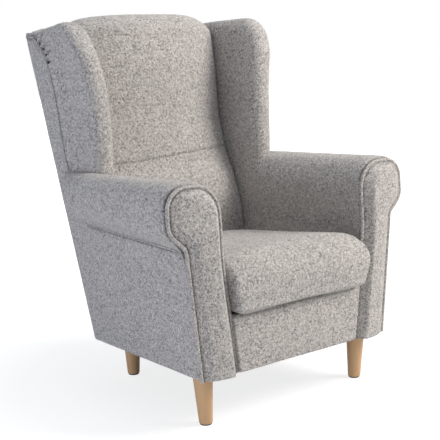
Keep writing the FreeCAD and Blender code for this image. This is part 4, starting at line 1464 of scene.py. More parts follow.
@dataclass(frozen=True)
class BackPad:
    """Padded back between the wings, crowned across and rolled over at its arched top."""

    body: Body
    half: float = 0.2485
    floor: float = 0.243
    edge_round: float = 0.020
    crown_power: float = 2.3
    arch_power: float = 4.3
    roll_front: float = 0.056
    roll_rear: float = 0.066
    seam_level: float = 0.618
    seam_depth: float = 0.0022
    seam_width: float = 0.0030
    stitch: float = 0.0075
    seam_wave: float = 0.004
    seam_turns: float = 9.0
    seam_slope: float = 0.006
    seam_reach: float = 0.080
    over_length: float = 0.092
    level_length: float = 0.060
    down_length: float = 0.100
    tail_in: float = 0.0508

    def columns(self) -> tuple[Array, Array]:
        """Places across the pad and how far each line is drawn in: a quarter circle at either side.

        Returns:
            Places across, and how far each line is drawn in.
        """
        flat = self.half - self.edge_round
        level = np.linspace(-flat, flat, steps_for(2 * flat))
        angle = np.linspace(0, math.pi / 2, steps_for(self.edge_round * math.pi / 2))[1:]
        out = flat + self.edge_round * np.sin(angle)
        drawn = self.edge_round * (1 - np.cos(angle))
        across = np.concatenate([-out[::-1], level, out])
        return across, np.concatenate([drawn[::-1], np.zeros(len(level)), drawn])

    def shell(self) -> Shell:
        """Upright lines across the pad.

        A line climbs the front, whose thickness is crown + (edge - crown) * |x / half| ** 2.3, rolls over the
        top along a quarter ellipse, runs level and comes down behind along another. The top is the arch
        back_roll * (1 - |x / half| ** 4.3) ** 0.5 over the start of the roll.

        Returns:
            The shell.
        """
        body = self.body
        across, drawn = self.columns()
        start = body.back_top - body.back_roll
        share = np.abs(across / self.half)
        arch = body.back_roll * np.sqrt(np.clip(1 - share**self.arch_power, 0, 1))
        climb = np.linspace(self.floor, start, steps_for(start - self.floor))
        thick = through(back_table(body), climb)
        crown = thick[:, :1] + (thick[:, 1:] - thick[:, :1]) * share**self.crown_power
        front_y = body.rear(climb)[:, None] - crown + drawn
        front_z = np.broadcast_to(climb[:, None], front_y.shape)
        angle = np.linspace(0, math.pi / 2, steps_for(self.over_length))[1:, None]
        over_y = front_y[-1] + self.roll_front * (1 - np.cos(angle))
        over_z = start + arch * np.sin(angle)
        rear_top = float(body.rear(start)) - body.cover_gap
        level = np.linspace(0, 1, steps_for(self.level_length))[1:-1, None]
        run = rear_top - self.roll_rear - over_y[-1]
        top_y = over_y[-1] + run * level
        top_z = np.broadcast_to(over_z[-1], top_y.shape)
        down = np.linspace(math.pi / 2, 0, steps_for(self.down_length))[:, None]
        down_y = rear_top - self.roll_rear * (1 - np.cos(down)) + np.zeros_like(across)
        down_z = start + arch * np.sin(down)
        tail = np.linspace(start, self.floor, 9)[1:]
        tail_y = np.broadcast_to(body.rear(tail)[:, None] - self.tail_in, (len(tail), len(across)))
        tail_z = np.broadcast_to(tail[:, None], tail_y.shape)
        y = np.concatenate([front_y, over_y, top_y, down_y, tail_y])
        z = np.concatenate([front_z, over_z, top_z, down_z, tail_z])
        points = np.stack([np.broadcast_to(across, y.shape), y, z], axis=-1)
        shell = Shell(body.front)
        shell.closed(points.transpose(1, 0, 2)[::-1])
        return shell

    def sewn(self, points: Array) -> Array:
        """Depth of the sewn line across the pad, deeper at each stitch.

        Args:
            points: Points (n, 3).

        Returns:
            Depths (n,).
        """
        x = points[:, 0]
        slope = self.seam_slope * x / self.half
        middle = self.seam_level + self.seam_wave * np.sin(x * self.seam_turns) + slope
        near = np.exp(-(((points[:, 2] - middle) / self.seam_width) ** 2))
        pull = 0.7 + 0.3 * np.cos(2 * math.pi * x / self.stitch)
        front = points[:, 1] < self.body.rear(points[:, 2]) - self.seam_reach
        return self.seam_depth * near * pull * front

    def build(self, finishes: Finishes) -> None:
        """Makes the cover of the back over its padding.

        Args:
            finishes: Every finish of the chair.
        """
        shell = self.shell()
        sewn = self.sewn(shell.points)
        shell.pushed(-sewn)
        # Painted shade: the cloth's colour is darkened along the sewn line.
        loops = shell.piled() * (1 - 0.6 * np.clip(sewn / self.seam_depth, 0, 1))
        made = shell.object("back_pad", loops)
        put(made, FRAME_BODY, "boucle", finishes.cloth, "back_cover_lower", "back_cover_upper", "back_foam")


@dataclass(frozen=True)
class Facing:
    """Upholstered scroll front with its piping."""

    body: Body
    side: Side
    edge: float = 0.0035
    flat: float = -0.0030
    rim: float = 0.011
    puff: float = 0.0195
    puff_peak: float = 0.20
    puff_reach: float = 0.026
    welt_radius: float = 0.0046
    welt_off: float = 0.0032
    welt_back: float = 0.0020
    dome: float = 0.070
    dome_length: float = 0.110
    # Width of the painted shade beside the piping, and its strength on the left and on the right panel.
    width_length: float = 0.150
    peak_gap: float = 0.02 * MM
    seam_shade_width: float = 0.005
    seam_shade_left: float = 0.85
    seam_shade_right: float = 0.45

    def shell(self) -> Shell:
        """Level rows between the inner and outer edge.

        The face stands forward of its edge by a quarter ellipse over the rim. It swells further, most near
        its inner edge, from where it falls away toward the outer edge as the square of the distance.

        Returns:
            The shell, on its side of the chair.
        """
        body = self.body
        line = rounded(body.facing())
        top = int(np.argmax(line[:, 1]))
        outer = line[: top + 1]
        inner = line[top:][::-1]
        peak = float(line[:, 1].max())
        shoulder = peak - self.dome
        low = np.linspace(body.underside, shoulder, steps_for(shoulder - body.underside))
        angle = np.linspace(0, math.pi / 2, steps_for(self.dome_length))[1:]
        high = shoulder + self.dome * np.sin(angle)
        z = np.concatenate([low, high[:-1], [peak - self.peak_gap]])
        left = np.interp(z, inner[:, 1], inner[:, 0])
        right = np.interp(z, outer[:, 1], outer[:, 0])
        across = np.linspace(0, 1, steps_for(self.width_length))
        x = left[:, None] + (right - left)[:, None] * across
        height = np.broadcast_to(z[:, None], x.shape)
        away = distance_to(evenly(line, EDGE_POINTS), np.stack([x, height], axis=-1))
        y = self.edge + (self.flat - self.edge) * quarter_round(away / self.rim)
        inward = np.clip((self.puff_peak - across) / self.puff_peak, 0, 1)
        outward = np.clip((across - self.puff_peak) / (1 - self.puff_peak), 0, 1)
        y = y - self.puff * (1 - 0.35 * inward**2 - outward**2) * smooth(away, 0, self.puff_reach)
        lean = body.scroll_back(height)
        shell = Shell(body.front)
        index = shell.grid(np.stack([x, y + lean, height], axis=-1))
        ring = np.concatenate([index[0, :-1], index[:-1, -1], index[-1, :0:-1], index[:0:-1, 0]])
        rim = shell.points[ring]
        behind = rim.copy()
        behind[:, 1] = body.facing_back + body.scroll_back(rim[:, 2])
        rows = shell.grid(np.stack([behind, rim]), wrap=True)
        shell.cap(rows[0][::-1])
        shell.weld()
        return shell.mirrored(self.side)

    def welt(self) -> Shell:
        """Piping along the edge of the panel, from the underside over the scroll and down to the underside.

        Returns:
            The shell, on its side of the chair.
        """
        body = self.body
        line = rounded(body.facing())
        line = evenly(line, steps_for(length_of(line), PIPING_STEP))
        moved = line - self.welt_off * left_normals(line)
        depth = self.welt_back + body.scroll_back(moved[:, 1])
        path = np.column_stack([moved[:, 0], depth, moved[:, 1]])
        shell = tube(path, self.welt_radius, 14)
        shell.front = body.front
        return shell.mirrored(self.side)

    def build(self, finishes: Finishes) -> None:
        """Makes the panel and its piping.

        Args:
            finishes: Every finish of the chair.
        """
        name = self.side.word
        shell = self.shell()
        outline = np.abs(shell.points[:, [0, 2]])
        loops = shell.piled(0.9, 0.5)
        away = distance_to(evenly(rounded(self.body.facing()), EDGE_POINTS), outline)
        # Painted shade beside the piping, stronger on the left panel than on the right.
        share = self.seam_shade_left if self.side is Side.LEFT else self.seam_shade_right
        loops = seam_shaded(loops, away, self.seam_shade_width, share)
        panel = shell.object(f"scroll_front_{name}", loops)
        put(panel, FRAME_BODY, "boucle", finishes.cloth, f"facing_panel_{name}")
        welt = self.welt()
        welt_loops = welt.piled(0.45, 0.0)
        piping = welt.object(f"piping_{name}", welt_loops)
        put(piping, FRAME_BODY, "welt", finishes.cloth, f"scroll_welt_{name}")


@dataclass(frozen=True)
class OuterCloth:
    """Stretched cloth of one outer side, with its edges turned in, and the thin piping of its seam."""

    body: Body
    side: Side
    hem: float = 0.008
    belly: float = 0.0025
    seam_radius: float = 0.0024
    seam_proud: float = 0.0036
    knee_depth: float = 0.440
    ease: float = 0.120
    hem_out: float = 0.0012
    # Width and strength of the painted shade along the seam.
    seam_shade_width: float = 0.007
    seam_shade_share: float = 0.95
    flat: tuple[float, float] = (0.700, 0.835)

    def shell(self) -> Shell:
        """Two grids that share a level line.

        The lower one spans from the underside up to the seam under the roll, the upper one from the seam
        behind the wing back to the rear corner. Each point lies on the side plane, a little proud of it away
        from the edges, and the last row at each edge is turned in.

        Returns:
            The shell, on its side of the chair.
        """
        body = self.body
        seam = body.seam()
        bend = int(np.argmax(seam[:, 0] > self.knee_depth))
        level = seam[: bend + 1]
        upright = seam[bend:]
        count = steps_for(length_of(level))
        under_roll = evenly(level, count)
        knee = under_roll[-1]
        rear_knee = float(body.rear(knee[1]) - body.corner(knee[1]))
        behind = np.linspace(knee[0], rear_knee, steps_for(rear_knee - knee[0]))[1:]
        top_y = np.concatenate([under_roll[:, 0], behind])
        top_z = np.concatenate([under_roll[:, 1], np.full(len(behind), knee[1])])
        share = np.linspace(0, 1, steps_for(knee[1] - body.underside))[:, None]
        floor_rear = float(body.rear(body.underside) - body.corner(body.underside))
        spread = (top_y - top_y[0]) / (top_y[-1] - top_y[0])
        floor_y = body.facing_back + (floor_rear - body.facing_back) * spread
        low_y = floor_y + (top_y - floor_y) * share
        low_z = body.underside + (top_z - body.underside) * share
        climb = evenly(upright, steps_for(length_of(upright)))
        far_y = body.rear(climb[:, 1]) - body.corner(climb[:, 1])
        part = np.linspace(0, 1, len(behind) + 1)
        high_y = climb[:, :1] + (far_y[:, None] - climb[:, :1]) * part
        high_z = np.broadcast_to(climb[:, 1:], high_y.shape)
        shell = Shell(body.front)
        lower = shell.grid(self.on_side(low_y, low_z))
        upper = shell.grid(self.on_side(high_y, high_z))
        edge = np.concatenate(
            [
                upper[::-1, 0],
                lower[-1, count - 2 :: -1],
                lower[-2::-1, 0],
                lower[0, 1:],
                lower[1:, -1],
                upper[1:, -1],
                upper[-1, -2:0:-1],
            ]
        )
        self.turn_in(shell, edge)
        shell.weld()
        return shell.mirrored(self.side)

    def on_side(self, y: Array, z: Array) -> Array:
        """Points on the side plane at these depths and heights.

        Args:
            y: Depth or depths.
            z: Height or heights.

        Returns:
            Points with one more axis than the depths.
        """
        body = self.body
        from_front = smooth(y, body.facing_back, body.facing_back + self.ease)
        from_floor = smooth(z, body.underside, body.underside + self.ease)
        proud = self.belly * from_front * from_floor
        return np.stack([body.side_x(y, z) + proud, y, z], axis=-1)

    def turn_in(self, shell: Shell, edge: Array) -> None:
        """Adds a hem of three rows along an edge, which sinks inward by a quarter circle.

        Args:
            shell: Shell to add to.
            edge: Index of each point along the edge, in order.
        """
        rim = shell.points[edge]
        turn = np.sin(np.linspace(0, math.pi / 2, 4))
        middle = rim.mean(axis=0)
        outward = rim - middle
        outward[:, 0] = 0
        outward = outward / np.linalg.norm(outward, axis=1)[:, None]
        rows = [rim]
        for share in turn[1:]:
            row = rim + outward * self.hem_out * share
            row[:, 0] -= self.hem * share**2
            rows.append(row)
        shell.grid(np.stack(rows)[::-1], wrap=True)

    def seam_piping(self) -> Shell:
        """Thin piping in the seam, from the scroll front to the rear corner.

        Returns:
            The shell, on its side of the chair.
        """
        body = self.body
        seam = body.seam()
        rear_top = float(body.rear(body.screen_top) - body.corner(body.screen_top))
        line = np.vstack([seam, [[rear_top, body.screen_top]]])
        line = evenly(line, steps_for(length_of(line), PIPING_STEP))
        x = body.side_x(line[:, 0], line[:, 1]) + self.seam_proud
        shell = tube(np.column_stack([x, line]), self.seam_radius, 10)
        shell.front = body.front
        return shell.mirrored(self.side)

    def build(self, finishes: Finishes) -> None:
        """Makes the cloth and its seam.

        Args:
            finishes: Every finish of the chair.
        """
        name = self.side.word
        shell = self.shell()
        area = shell.area()
        away = distance_to(self.body.seam_to_corner(), shell.points[:, 1:])
        # Painted shade: the cloth's colour is darkened along the seam and along the front edge by the scroll
        # front.
        loops = seam_shaded(shell.piled(1.0, 0.6), away, self.seam_shade_width, self.seam_shade_share)
        loops = seam_shaded(loops, shell.points[:, 1] - self.body.facing_back)
        made = shell.object(f"outer_side_{name}", loops)
        put(made, FRAME_BODY, "boucle", finishes.cloth, f"side_panel_{name}")
        seam = self.seam_piping()
        seam_loops = seam.piled(0.35, 0.0)
        put(seam.object(f"seam_piping_{name}", seam_loops), FRAME_BODY, "welt", finishes.cloth)


@dataclass(frozen=True)
class RearCloth:
    """Stretched cloth of the back, round both rear corners."""

    body: Body
    belly: float = 0.004
    hem: float = 0.008
    hem_out: float = 0.001
    ahead: float = 0.0003
    tighter: float = 0.001
    girth: float = 0.700
    piping_radius: float = 0.0021
    piping_up: float = 0.0005
    flat: tuple[float, float] = (0.735, 0.885)

    def level_line(self, z: float, ahead: float, tighter: float) -> Array:
        """Level line round both rear corners.

        Args:
            z: Its height.
            ahead: How far behind the start of the corner its ends lie.
            tighter: How much smaller its rounds are than the corner's.

        Returns:
            Points (n, 2).
        """
        body = self.body
        rear = float(body.rear(z))
        corner = float(body.corner(z))
        half = float(body.rear_half(z))
        start = rear - corner + ahead
        radius = corner - tighter
        return rounded([(-half, start, 0), (-half, rear, radius), (half, rear, radius), (half, start, 0)])

    def shell(self) -> Shell:
        """Level lines round the rear, one above the other, with the top and bottom edges turned in.

        Returns:
            The shell.
        """
        body = self.body
        height = body.screen_top - body.underside
        levels = np.linspace(body.underside, body.screen_top, steps_for(height, SCREEN_STEP))
        count = steps_for(self.girth, SCREEN_STEP)
        rows = []
        for z in levels:
            line = self.level_line(z, self.ahead, self.tighter)
            rows.append(np.column_stack([evenly(line, count), np.full(count, z)]))
        points = np.stack(rows)
        middle = 1 - (points[:, :, 0] / self.body.rear_half_low) ** 2
        tall = np.sin(np.linspace(0, math.pi, len(levels)))[:, None]
        points[:, :, 1] += self.belly * np.clip(middle, 0, 1) * tall
        shell = Shell(body.front)
        shell.grid(self.hemmed(points))
        return shell

    def hemmed(self, points: Array) -> Array:
        """Adds rows that turn the bottom and top edges in toward the frame, and columns at the sides.

        Args:
            points: Points (n, 3).

        Returns:
            The grid with its turned edges.
        """
        turn = np.sin(np.linspace(0, math.pi / 2, 4))[1:]
        low = [points[0] + (0, -self.hem * share**2, -self.hem_out * share) for share in turn][::-1]
        high = [points[-1] + (0, -self.hem * share**2, self.hem_out * share) for share in turn]
        tall = np.concatenate([np.stack(low), points, np.stack(high)])
        left = [tall[:, :1] + (self.hem * share**2, -self.hem_out * share, 0) for share in turn][::-1]
        right = [tall[:, -1:] + (-self.hem * share**2, -self.hem_out * share, 0) for share in turn]
        return np.concatenate(left + [tall] + right, axis=1)

    def build(self, finishes: Finishes) -> None:
        """Makes the cloth and the piping across its top.

        Args:
            finishes: Every finish of the chair.
        """
        body = self.body
        shell = self.shell()
        area = shell.area()
        shell.quads = shell.quads[:, ::-1]
        loops = shell.piled(1.0, 0.7)
        made = shell.object("outer_back", loops)
        put(made, FRAME_BODY, "boucle", finishes.cloth, "rear_panel")
        line = self.level_line(body.screen_top, 0.0, 0.0)
        line = evenly(line, steps_for(length_of(line), PIPING_STEP))
        height = np.full(len(line), body.screen_top + self.piping_up)
        piping = tube(np.column_stack([line, height]), self.piping_radius, 10)
        piping.front = body.front
        piping_loops = piping.piled(0.35, 0.0)
        put(piping.object("seam_piping_back", piping_loops), FRAME_BODY, "welt", finishes.cloth)


@dataclass(frozen=True)
class Bolster:
    """Closed pad made of one upright profile repeated across, with rounded ends."""

    profile: tuple[Corner, ...]
    half: float
    end_round: float
    step: float = GRID_STEP

    def grid(self) -> tuple[Array, Array]:
        """Places across and the profile drawn in along its normal by a quarter circle at each end.

        Returns:
            Points (columns, profile, 3) as (x, a, b), and the share of the half width of each column.
        """
        line = rounded(self.profile, closed=True)
        line = evenly(line, steps_for(length_of(line), self.step))[:-1]
        around = np.vstack([line[-1:], line, line[:1]])
        normal = left_normals(around)[1:-1]
        flat = self.half - self.end_round
        level = np.linspace(-flat, flat, steps_for(2 * flat, self.step))
        angle = np.linspace(0, math.pi / 2, steps_for(self.end_round * math.pi / 2, self.step))[1:]
        out = flat + self.end_round * np.sin(angle)
        drawn = self.end_round * (1 - np.cos(angle))
        across = np.concatenate([-out[::-1], level, out])
        inset = np.concatenate([drawn[::-1], np.zeros(len(level)), drawn])
        plane = line[None] + normal[None] * inset[:, None, None]
        x = np.broadcast_to(across[:, None, None], (*plane.shape[:2], 1))
        return np.concatenate([x, plane], axis=2), np.abs(across) / self.half


@dataclass(frozen=True)
class Apron:
    """Padded front rail cover under the cushion."""

    body: Body
    top: float = 0.281
    front: float = -0.009
    half_low: float = 0.2058
    crown: float = 0.004

    def build(self, finishes: Finishes) -> None:
        """A rounded upright profile; its width grows with height and its front swells in the middle.

        Args:
            finishes: Every finish of the chair.
        """
        body = self.body
        low = body.underside
        profile = (
            (body.apron_back, low, 0.0),
            (body.apron_back, self.top, 0.004),
            (self.front, self.top, 0.010),
            (self.front, low, 0.006),
        )
        half_high = body.arm_inner_low
        points, share = Bolster(profile, half_high, 0.0045).grid()
        rise = (points[:, :, 2] - low) / (self.top - low)
        points[:, :, 0] *= (self.half_low + (half_high - self.half_low) * rise) / half_high
        forward = smooth(-points[:, :, 1], -body.apron_back, -self.front)
        swell = self.crown * (1 - share[:, None] ** 2) * forward * np.sin(math.pi * np.clip(rise, 0, 1))
        points[:, :, 1] -= swell
        shell = Shell(body.front)
        shell.closed(points)
        loops = shell.piled(1.0, 0.6)
        made = shell.object("apron", loops)
        put(made, FRAME_BODY, "boucle", finishes.cloth, "apron_cover", "apron_pad")


@dataclass(frozen=True)
class Seat:
    """Loose cushion and the deck pad under it, both on the seat plane that leans back."""

    body: Body
    tilt: float = math.radians(5.7)
    hinge_y: float = -0.035
    hinge_z: float = 0.290
    cushion_front: float = -0.040
    cushion_rear: float = 0.452
    height: float = 0.128
    crown: float = 0.020
    half: float = 0.239
    drawn_in: float = 0.014
    spread_right: float = 0.013
    spread_left: float = -0.006
    front_sag: float = 0.006
    side_gap: float = 0.0022
    welt_gap: float = 0.0085
    welt_reach: tuple[float, float] = (-0.021, 0.020)
    deck_gap: float = 0.0003
    deck_rear: float = 0.482
    deck_half: float = 0.221
    deck_thick: float = 0.012
    voxel: float = 0.005
    slack: float = 0.002
    swell_cap: float = 0.005
    frames: int = 20

    def leaned(self, points: Array) -> Array:
        """Turns level points (x, y, height over the seat plane) onto the leaning plane.

        Args:
            points: Points (n, 3).

        Returns:
            Points of the same shape.
        """
        y = points[..., 1] - self.hinge_y
        h = points[..., 2]
        cos = math.cos(self.tilt)
        sin = math.sin(self.tilt)
        return np.stack(
            [points[..., 0], self.hinge_y + y * cos + h * sin, self.hinge_z - y * sin + h * cos], axis=-1
        )

    def cushion_form(self) -> Shell:
        """Crowned form, a little small: large round in front, sides drawn in below.

        Returns:
            The shell, level.
        """
        rise = self.height
        profile = (
            (self.cushion_rear, 0.0, 0.016),
            (self.cushion_rear, rise, 0.030),
            (self.cushion_front, rise, 0.062),
            (self.cushion_front, 0.0, 0.010),
        )
        points, share = Bolster(profile, self.half, 0.016, 0.006).grid()
        up = np.clip(points[:, :, 2] / rise, 0, 1)
        points[:, :, 2] += self.crown * (1 - share[:, None] ** 3) * smooth(up, 0.2, 1.0)
        spread = np.where(points[:, :, 0] > 0, self.spread_right, self.spread_left)
        spread = spread * (1 - smooth(points[:, :, 1], -0.030, -0.008))
        middle = np.sin(math.pi * np.clip(up, 0, 1))
        narrowing = self.drawn_in / self.half * (1 - smooth(up, 0.0, 0.45))
        points[:, :, 0] *= 1 - narrowing + spread * middle / self.half
        sag = self.front_sag * (1 - smooth(points[:, :, 1], -0.010, 0.040)) * (1 - smooth(up, 0.0, 0.35))
        points[:, :, 2] -= sag
        shell = Shell(self.body.front)
        shell.closed(points)
        shell.pushed(np.full(len(shell.points), -self.slack))
        return shell

    def inflate(self, made: bpy.types.Object) -> None:
        """Swells the form as filled cloth, in place.

        An even mesh is put under inner pressure, and no point moves further than a cap.

        Args:
            made: Object that holds the form.
        """
        mesh = made.data
        mesh.remesh_voxel_size = self.voxel
        with bpy.context.temp_override(object=made, active_object=made, selected_objects=[made]):
            bpy.ops.object.voxel_remesh()
        before = np.empty(len(mesh.vertices) * 3, dtype=np.float32)
        mesh.vertices.foreach_get("co", before)
        before = before.reshape(-1, 3).astype(float)
        after = before
        cloth = made.modifiers.new("filling", "CLOTH")
        cloth.settings.quality = 5
        cloth.settings.use_pressure = True
        cloth.settings.uniform_pressure_force = 4.0
        cloth.settings.tension_stiffness = 40
        cloth.settings.compression_stiffness = 40
        cloth.settings.shear_stiffness = 20
        cloth.settings.bending_stiffness = 6.0
        cloth.settings.effector_weights.gravity = 0
        cloth.collision_settings.use_self_collision = False
        for frame in range(1, self.frames + 1):
            bpy.context.scene.frame_set(frame)
        swollen = made.evaluated_get(bpy.context.evaluated_depsgraph_get()).data
        moved = np.empty(len(swollen.vertices) * 3, dtype=np.float32)
        swollen.vertices.foreach_get("co", moved)
        after = moved.reshape(-1, 3).astype(float)
        made.modifiers.remove(cloth)
        bpy.context.scene.frame_set(1)
        step = after - before
        far = np.maximum(np.linalg.norm(step, axis=1), 1e-9)[:, None]
        after = before + step * np.minimum(1, self.swell_cap / far)
        mesh.vertices.foreach_set("co", after.astype(np.float32).ravel())
        mesh.update()
        finer = made.modifiers.new("finer", "SUBSURF")
        finer.levels = 1
        finer.render_levels = 1
        graph = bpy.context.evaluated_depsgraph_get()
        fine = bpy.data.meshes.new_from_object(made.evaluated_get(graph), depsgraph=graph)
        made.modifiers.clear()
        made.data = fine

    def cushion(self, finishes: Finishes) -> None:
        """Makes the loose cushion.

        Args:
            finishes: Every finish of the chair.
        """
        soft = self.cushion_form().object("seat_cushion_pad")
        self.inflate(soft)
        mesh = soft.data
        count = len(mesh.vertices)
        points = np.empty(count * 3, dtype=np.float32)
        mesh.vertices.foreach_get("co", points)
        points = points.reshape(-1, 3).astype(float)
        points[:, 1] -= self.body.front
        points = self.leaned(points)
        points = self.kept_clear(points)
        fine = Shell(self.body.front)
        fine.points = points
        corners = np.empty(len(mesh.loops), dtype=np.int32)
        mesh.loops.foreach_get("vertex_index", corners)
        fine.quads = corners.reshape(-1, 4).astype(np.int64)
        loops = fine.piled(1.0, 0.8)
        bpy.data.objects.remove(soft)
        made = fine.object("seat_cushion_cover", loops)
        put(made, CUSHION_BODY, "boucle", finishes.cloth, "cushion_cover", "cushion_foam")

    def kept_clear(self, points: Array) -> Array:
        """Holds the sides just inside the arms, and further in beside their piping.

        Args:
            points: Points (n, 3).

        Returns:
            The points, held.
        """
        body = self.body
        y = points[:, 1]
        z = points[:, 2]
        rise = np.clip((z - body.arm_floor) / (body.arm_knee - body.arm_floor), 0, 1)
        inner = body.arm_inner_low + (body.arm_inner - body.arm_inner_low) * rise
        room = np.where(y > body.facing_back, inner - self.side_gap, FAR)
        beside_welt = (y > self.welt_reach[0]) & (y < self.welt_reach[1])
        room = np.where(beside_welt, np.minimum(room, inner - self.welt_gap), room)
        points[:, 0] = np.clip(points[:, 0], -room, room)
        return points

    def deck(self, finishes: Finishes) -> None:
        """Makes the deck pad that the cushion lies on.

        Args:
            finishes: Every finish of the chair.
        """
        front = self.body.apron_back
        low = -self.deck_gap - self.deck_thick
        profile = (
            (self.deck_rear, low, 0.003),
            (self.deck_rear, -self.deck_gap, 0.005),
            (front, -self.deck_gap, 0.005),
            (front, low, 0.003),
        )
        points, _ = Bolster(profile, self.deck_half, 0.005, 0.004).grid()
        shell = Shell(self.body.front)
        shell.closed(self.leaned(points))
        made = shell.object("deck_platform")
        put(made, FRAME_BODY, "lining", finishes.lining, "deck_pad")

    def build(self, finishes: Finishes) -> None:
        """Makes the cushion and the deck pad."""
        self.cushion(finishes)
        self.deck(finishes)


@dataclass(frozen=True)
class Leg:
    """Turned tapered leg and its glide."""

    name: str
    foot_x: float
    foot_y: float
    splay: float
    foot_radius: float = 0.017
    top_radius: float = 0.0255
    glide_height: float = 0.0035
    top: float = 0.1328
    chamfer: float = 0.0014
    glide_flat: float = 0.0133
    glide_round: float = 0.0020
    ring: int = 72

    def turned(self, profile: Sequence[tuple[float, float]], shell: Shell) -> None:
        """Adds a lathe form: radius r at height z about an axis that leans outward with height.

        Args:
            profile: Rows of radius and height, from the foot up.
            shell: Shell to add to.
        """
        radius, z = np.array(profile).T
        angle = np.linspace(0, 2 * math.pi, self.ring, endpoint=False)
        axis = self.foot_x + self.splay * (z - self.glide_height) / (self.top - self.glide_height)
        x = axis[:, None] + radius[:, None] * np.cos(angle)
        y = self.foot_y + radius[:, None] * np.sin(angle)
        points = np.stack([x, y, np.broadcast_to(z[:, None], x.shape)], axis=-1)
        shell.closed(points)

    def leg_profile(self) -> list[tuple[float, float]]:
        """Chamfered foot, straight taper and flat top.

        Returns:
            Rows of radius and height.
        """
        low = self.glide_height
        line = [(self.foot_radius - self.chamfer, low), (self.foot_radius - 0.0002, low + self.chamfer)]
        for share in np.linspace(0.03, 1, 24):
            radius = self.foot_radius + (self.top_radius - self.foot_radius) * share
            line.append((radius, low + (self.top - low) * share))
        return line

    def glide_profile(self) -> list[tuple[float, float]]:
        """Low disc with a rounded lower edge.

        Returns:
            Rows of radius and height.
        """
        angle = np.linspace(0, math.pi / 2, 6)
        edge = self.glide_round
        line = [(self.glide_flat + edge * math.sin(a), edge * (1 - math.cos(a))) for a in angle]
        return line + [(self.glide_flat + edge, self.glide_height)]


def build_legs(body: Body, finishes: Finishes) -> None:
    """Makes the four legs, and their glides as one piece.

    Args:
        body: Sizes that the pieces share.
        finishes: Every finish of the chair.
    """
    glides = Shell(body.front)
    for place, x, y, splay in (("front", 0.267, 0.058, 0.006), ("rear", 0.163, 0.520, 0.002)):
        for side in Side:
            leg = Leg(f"{place}_leg_{side.word}", x * side.value, y, splay * side.value)
            shell = Shell(body.front)
            leg.turned(leg.leg_profile(), shell)
            made = shell.object(f"turned_{leg.name}")
            put(made, FRAME_BODY, "beech", finishes.beech, leg.name)
            leg.turned(leg.glide_profile(), glides)
    put(glides.object("glides"), FRAME_BODY, "glide", finishes.glide, "leg_glides")


@dataclass(frozen=True)
class DustCloth:
    """Thin black cloth stretched over the underside."""

    body: Body
    sag: float = 0.0012
    above: float = 0.0006
    front_in: float = 0.008
    rear_in: float = 0.0035
    rows: int = 90
    columns: int = 110
    flat: tuple[float, float] = (0.620, 0.520)

    def build(self, finishes: Finishes) -> None:
        """Rows from front to rear between the two outer sides, a little slack in the middle.

        Args:
            finishes: Every finish of the chair.
        """
        body = self.body
        front = body.apron_back
        rear = body.rear_low - self.rear_in
        depth = np.linspace(front, rear, self.rows)
        front_half = body.front_half - self.front_in
        rear_half = body.rear_half_low - self.rear_in
        half = front_half + (rear_half - front_half) * (depth - front) / (rear - front)
        into = np.clip((depth - (rear - body.corner_low)) / body.corner_low, 0, 1)
        half = half - body.corner_low * (1 - np.sqrt(1 - into**2))
        across = np.linspace(-1, 1, self.columns)
        x = half[:, None] * across
        y = np.broadcast_to(depth[:, None], x.shape)
        slack = np.sin(math.pi * (depth - front) / (rear - front))[:, None] * np.cos(across * math.pi / 2)
        z = body.underside + self.above + self.sag * (0.3 - slack)
        shell = Shell(body.front)
        shell.grid(np.stack([x, y, z], axis=-1)[::-1])
        area = shell.area()
        made = shell.object("underside_cloth")
        put(made, FRAME_BODY, "dust_cloth", finishes.dust, "dust_cover")


# The stage

@dataclass(frozen=True)
class Lamp:
    """Square area lamp."""

    name: str
    place: Corner
    power: float
    size: float
    colour: Colour

    def hang(self, target: Corner) -> None:
        """Adds the lamp to the scene, turned toward a target.

        Args:
            target: Place that it looks at.
        """
        data = bpy.data.lights.new(self.name, "AREA")
        data.energy = self.power
        data.size = self.size
        data.color = self.colour
        made = bpy.data.objects.new(self.name, data)
        made.location = self.place
        made.rotation_euler = (Vector(target) - Vector(self.place)).to_track_quat("-Z", "Y").to_euler()
        bpy.context.scene.collection.objects.link(made)


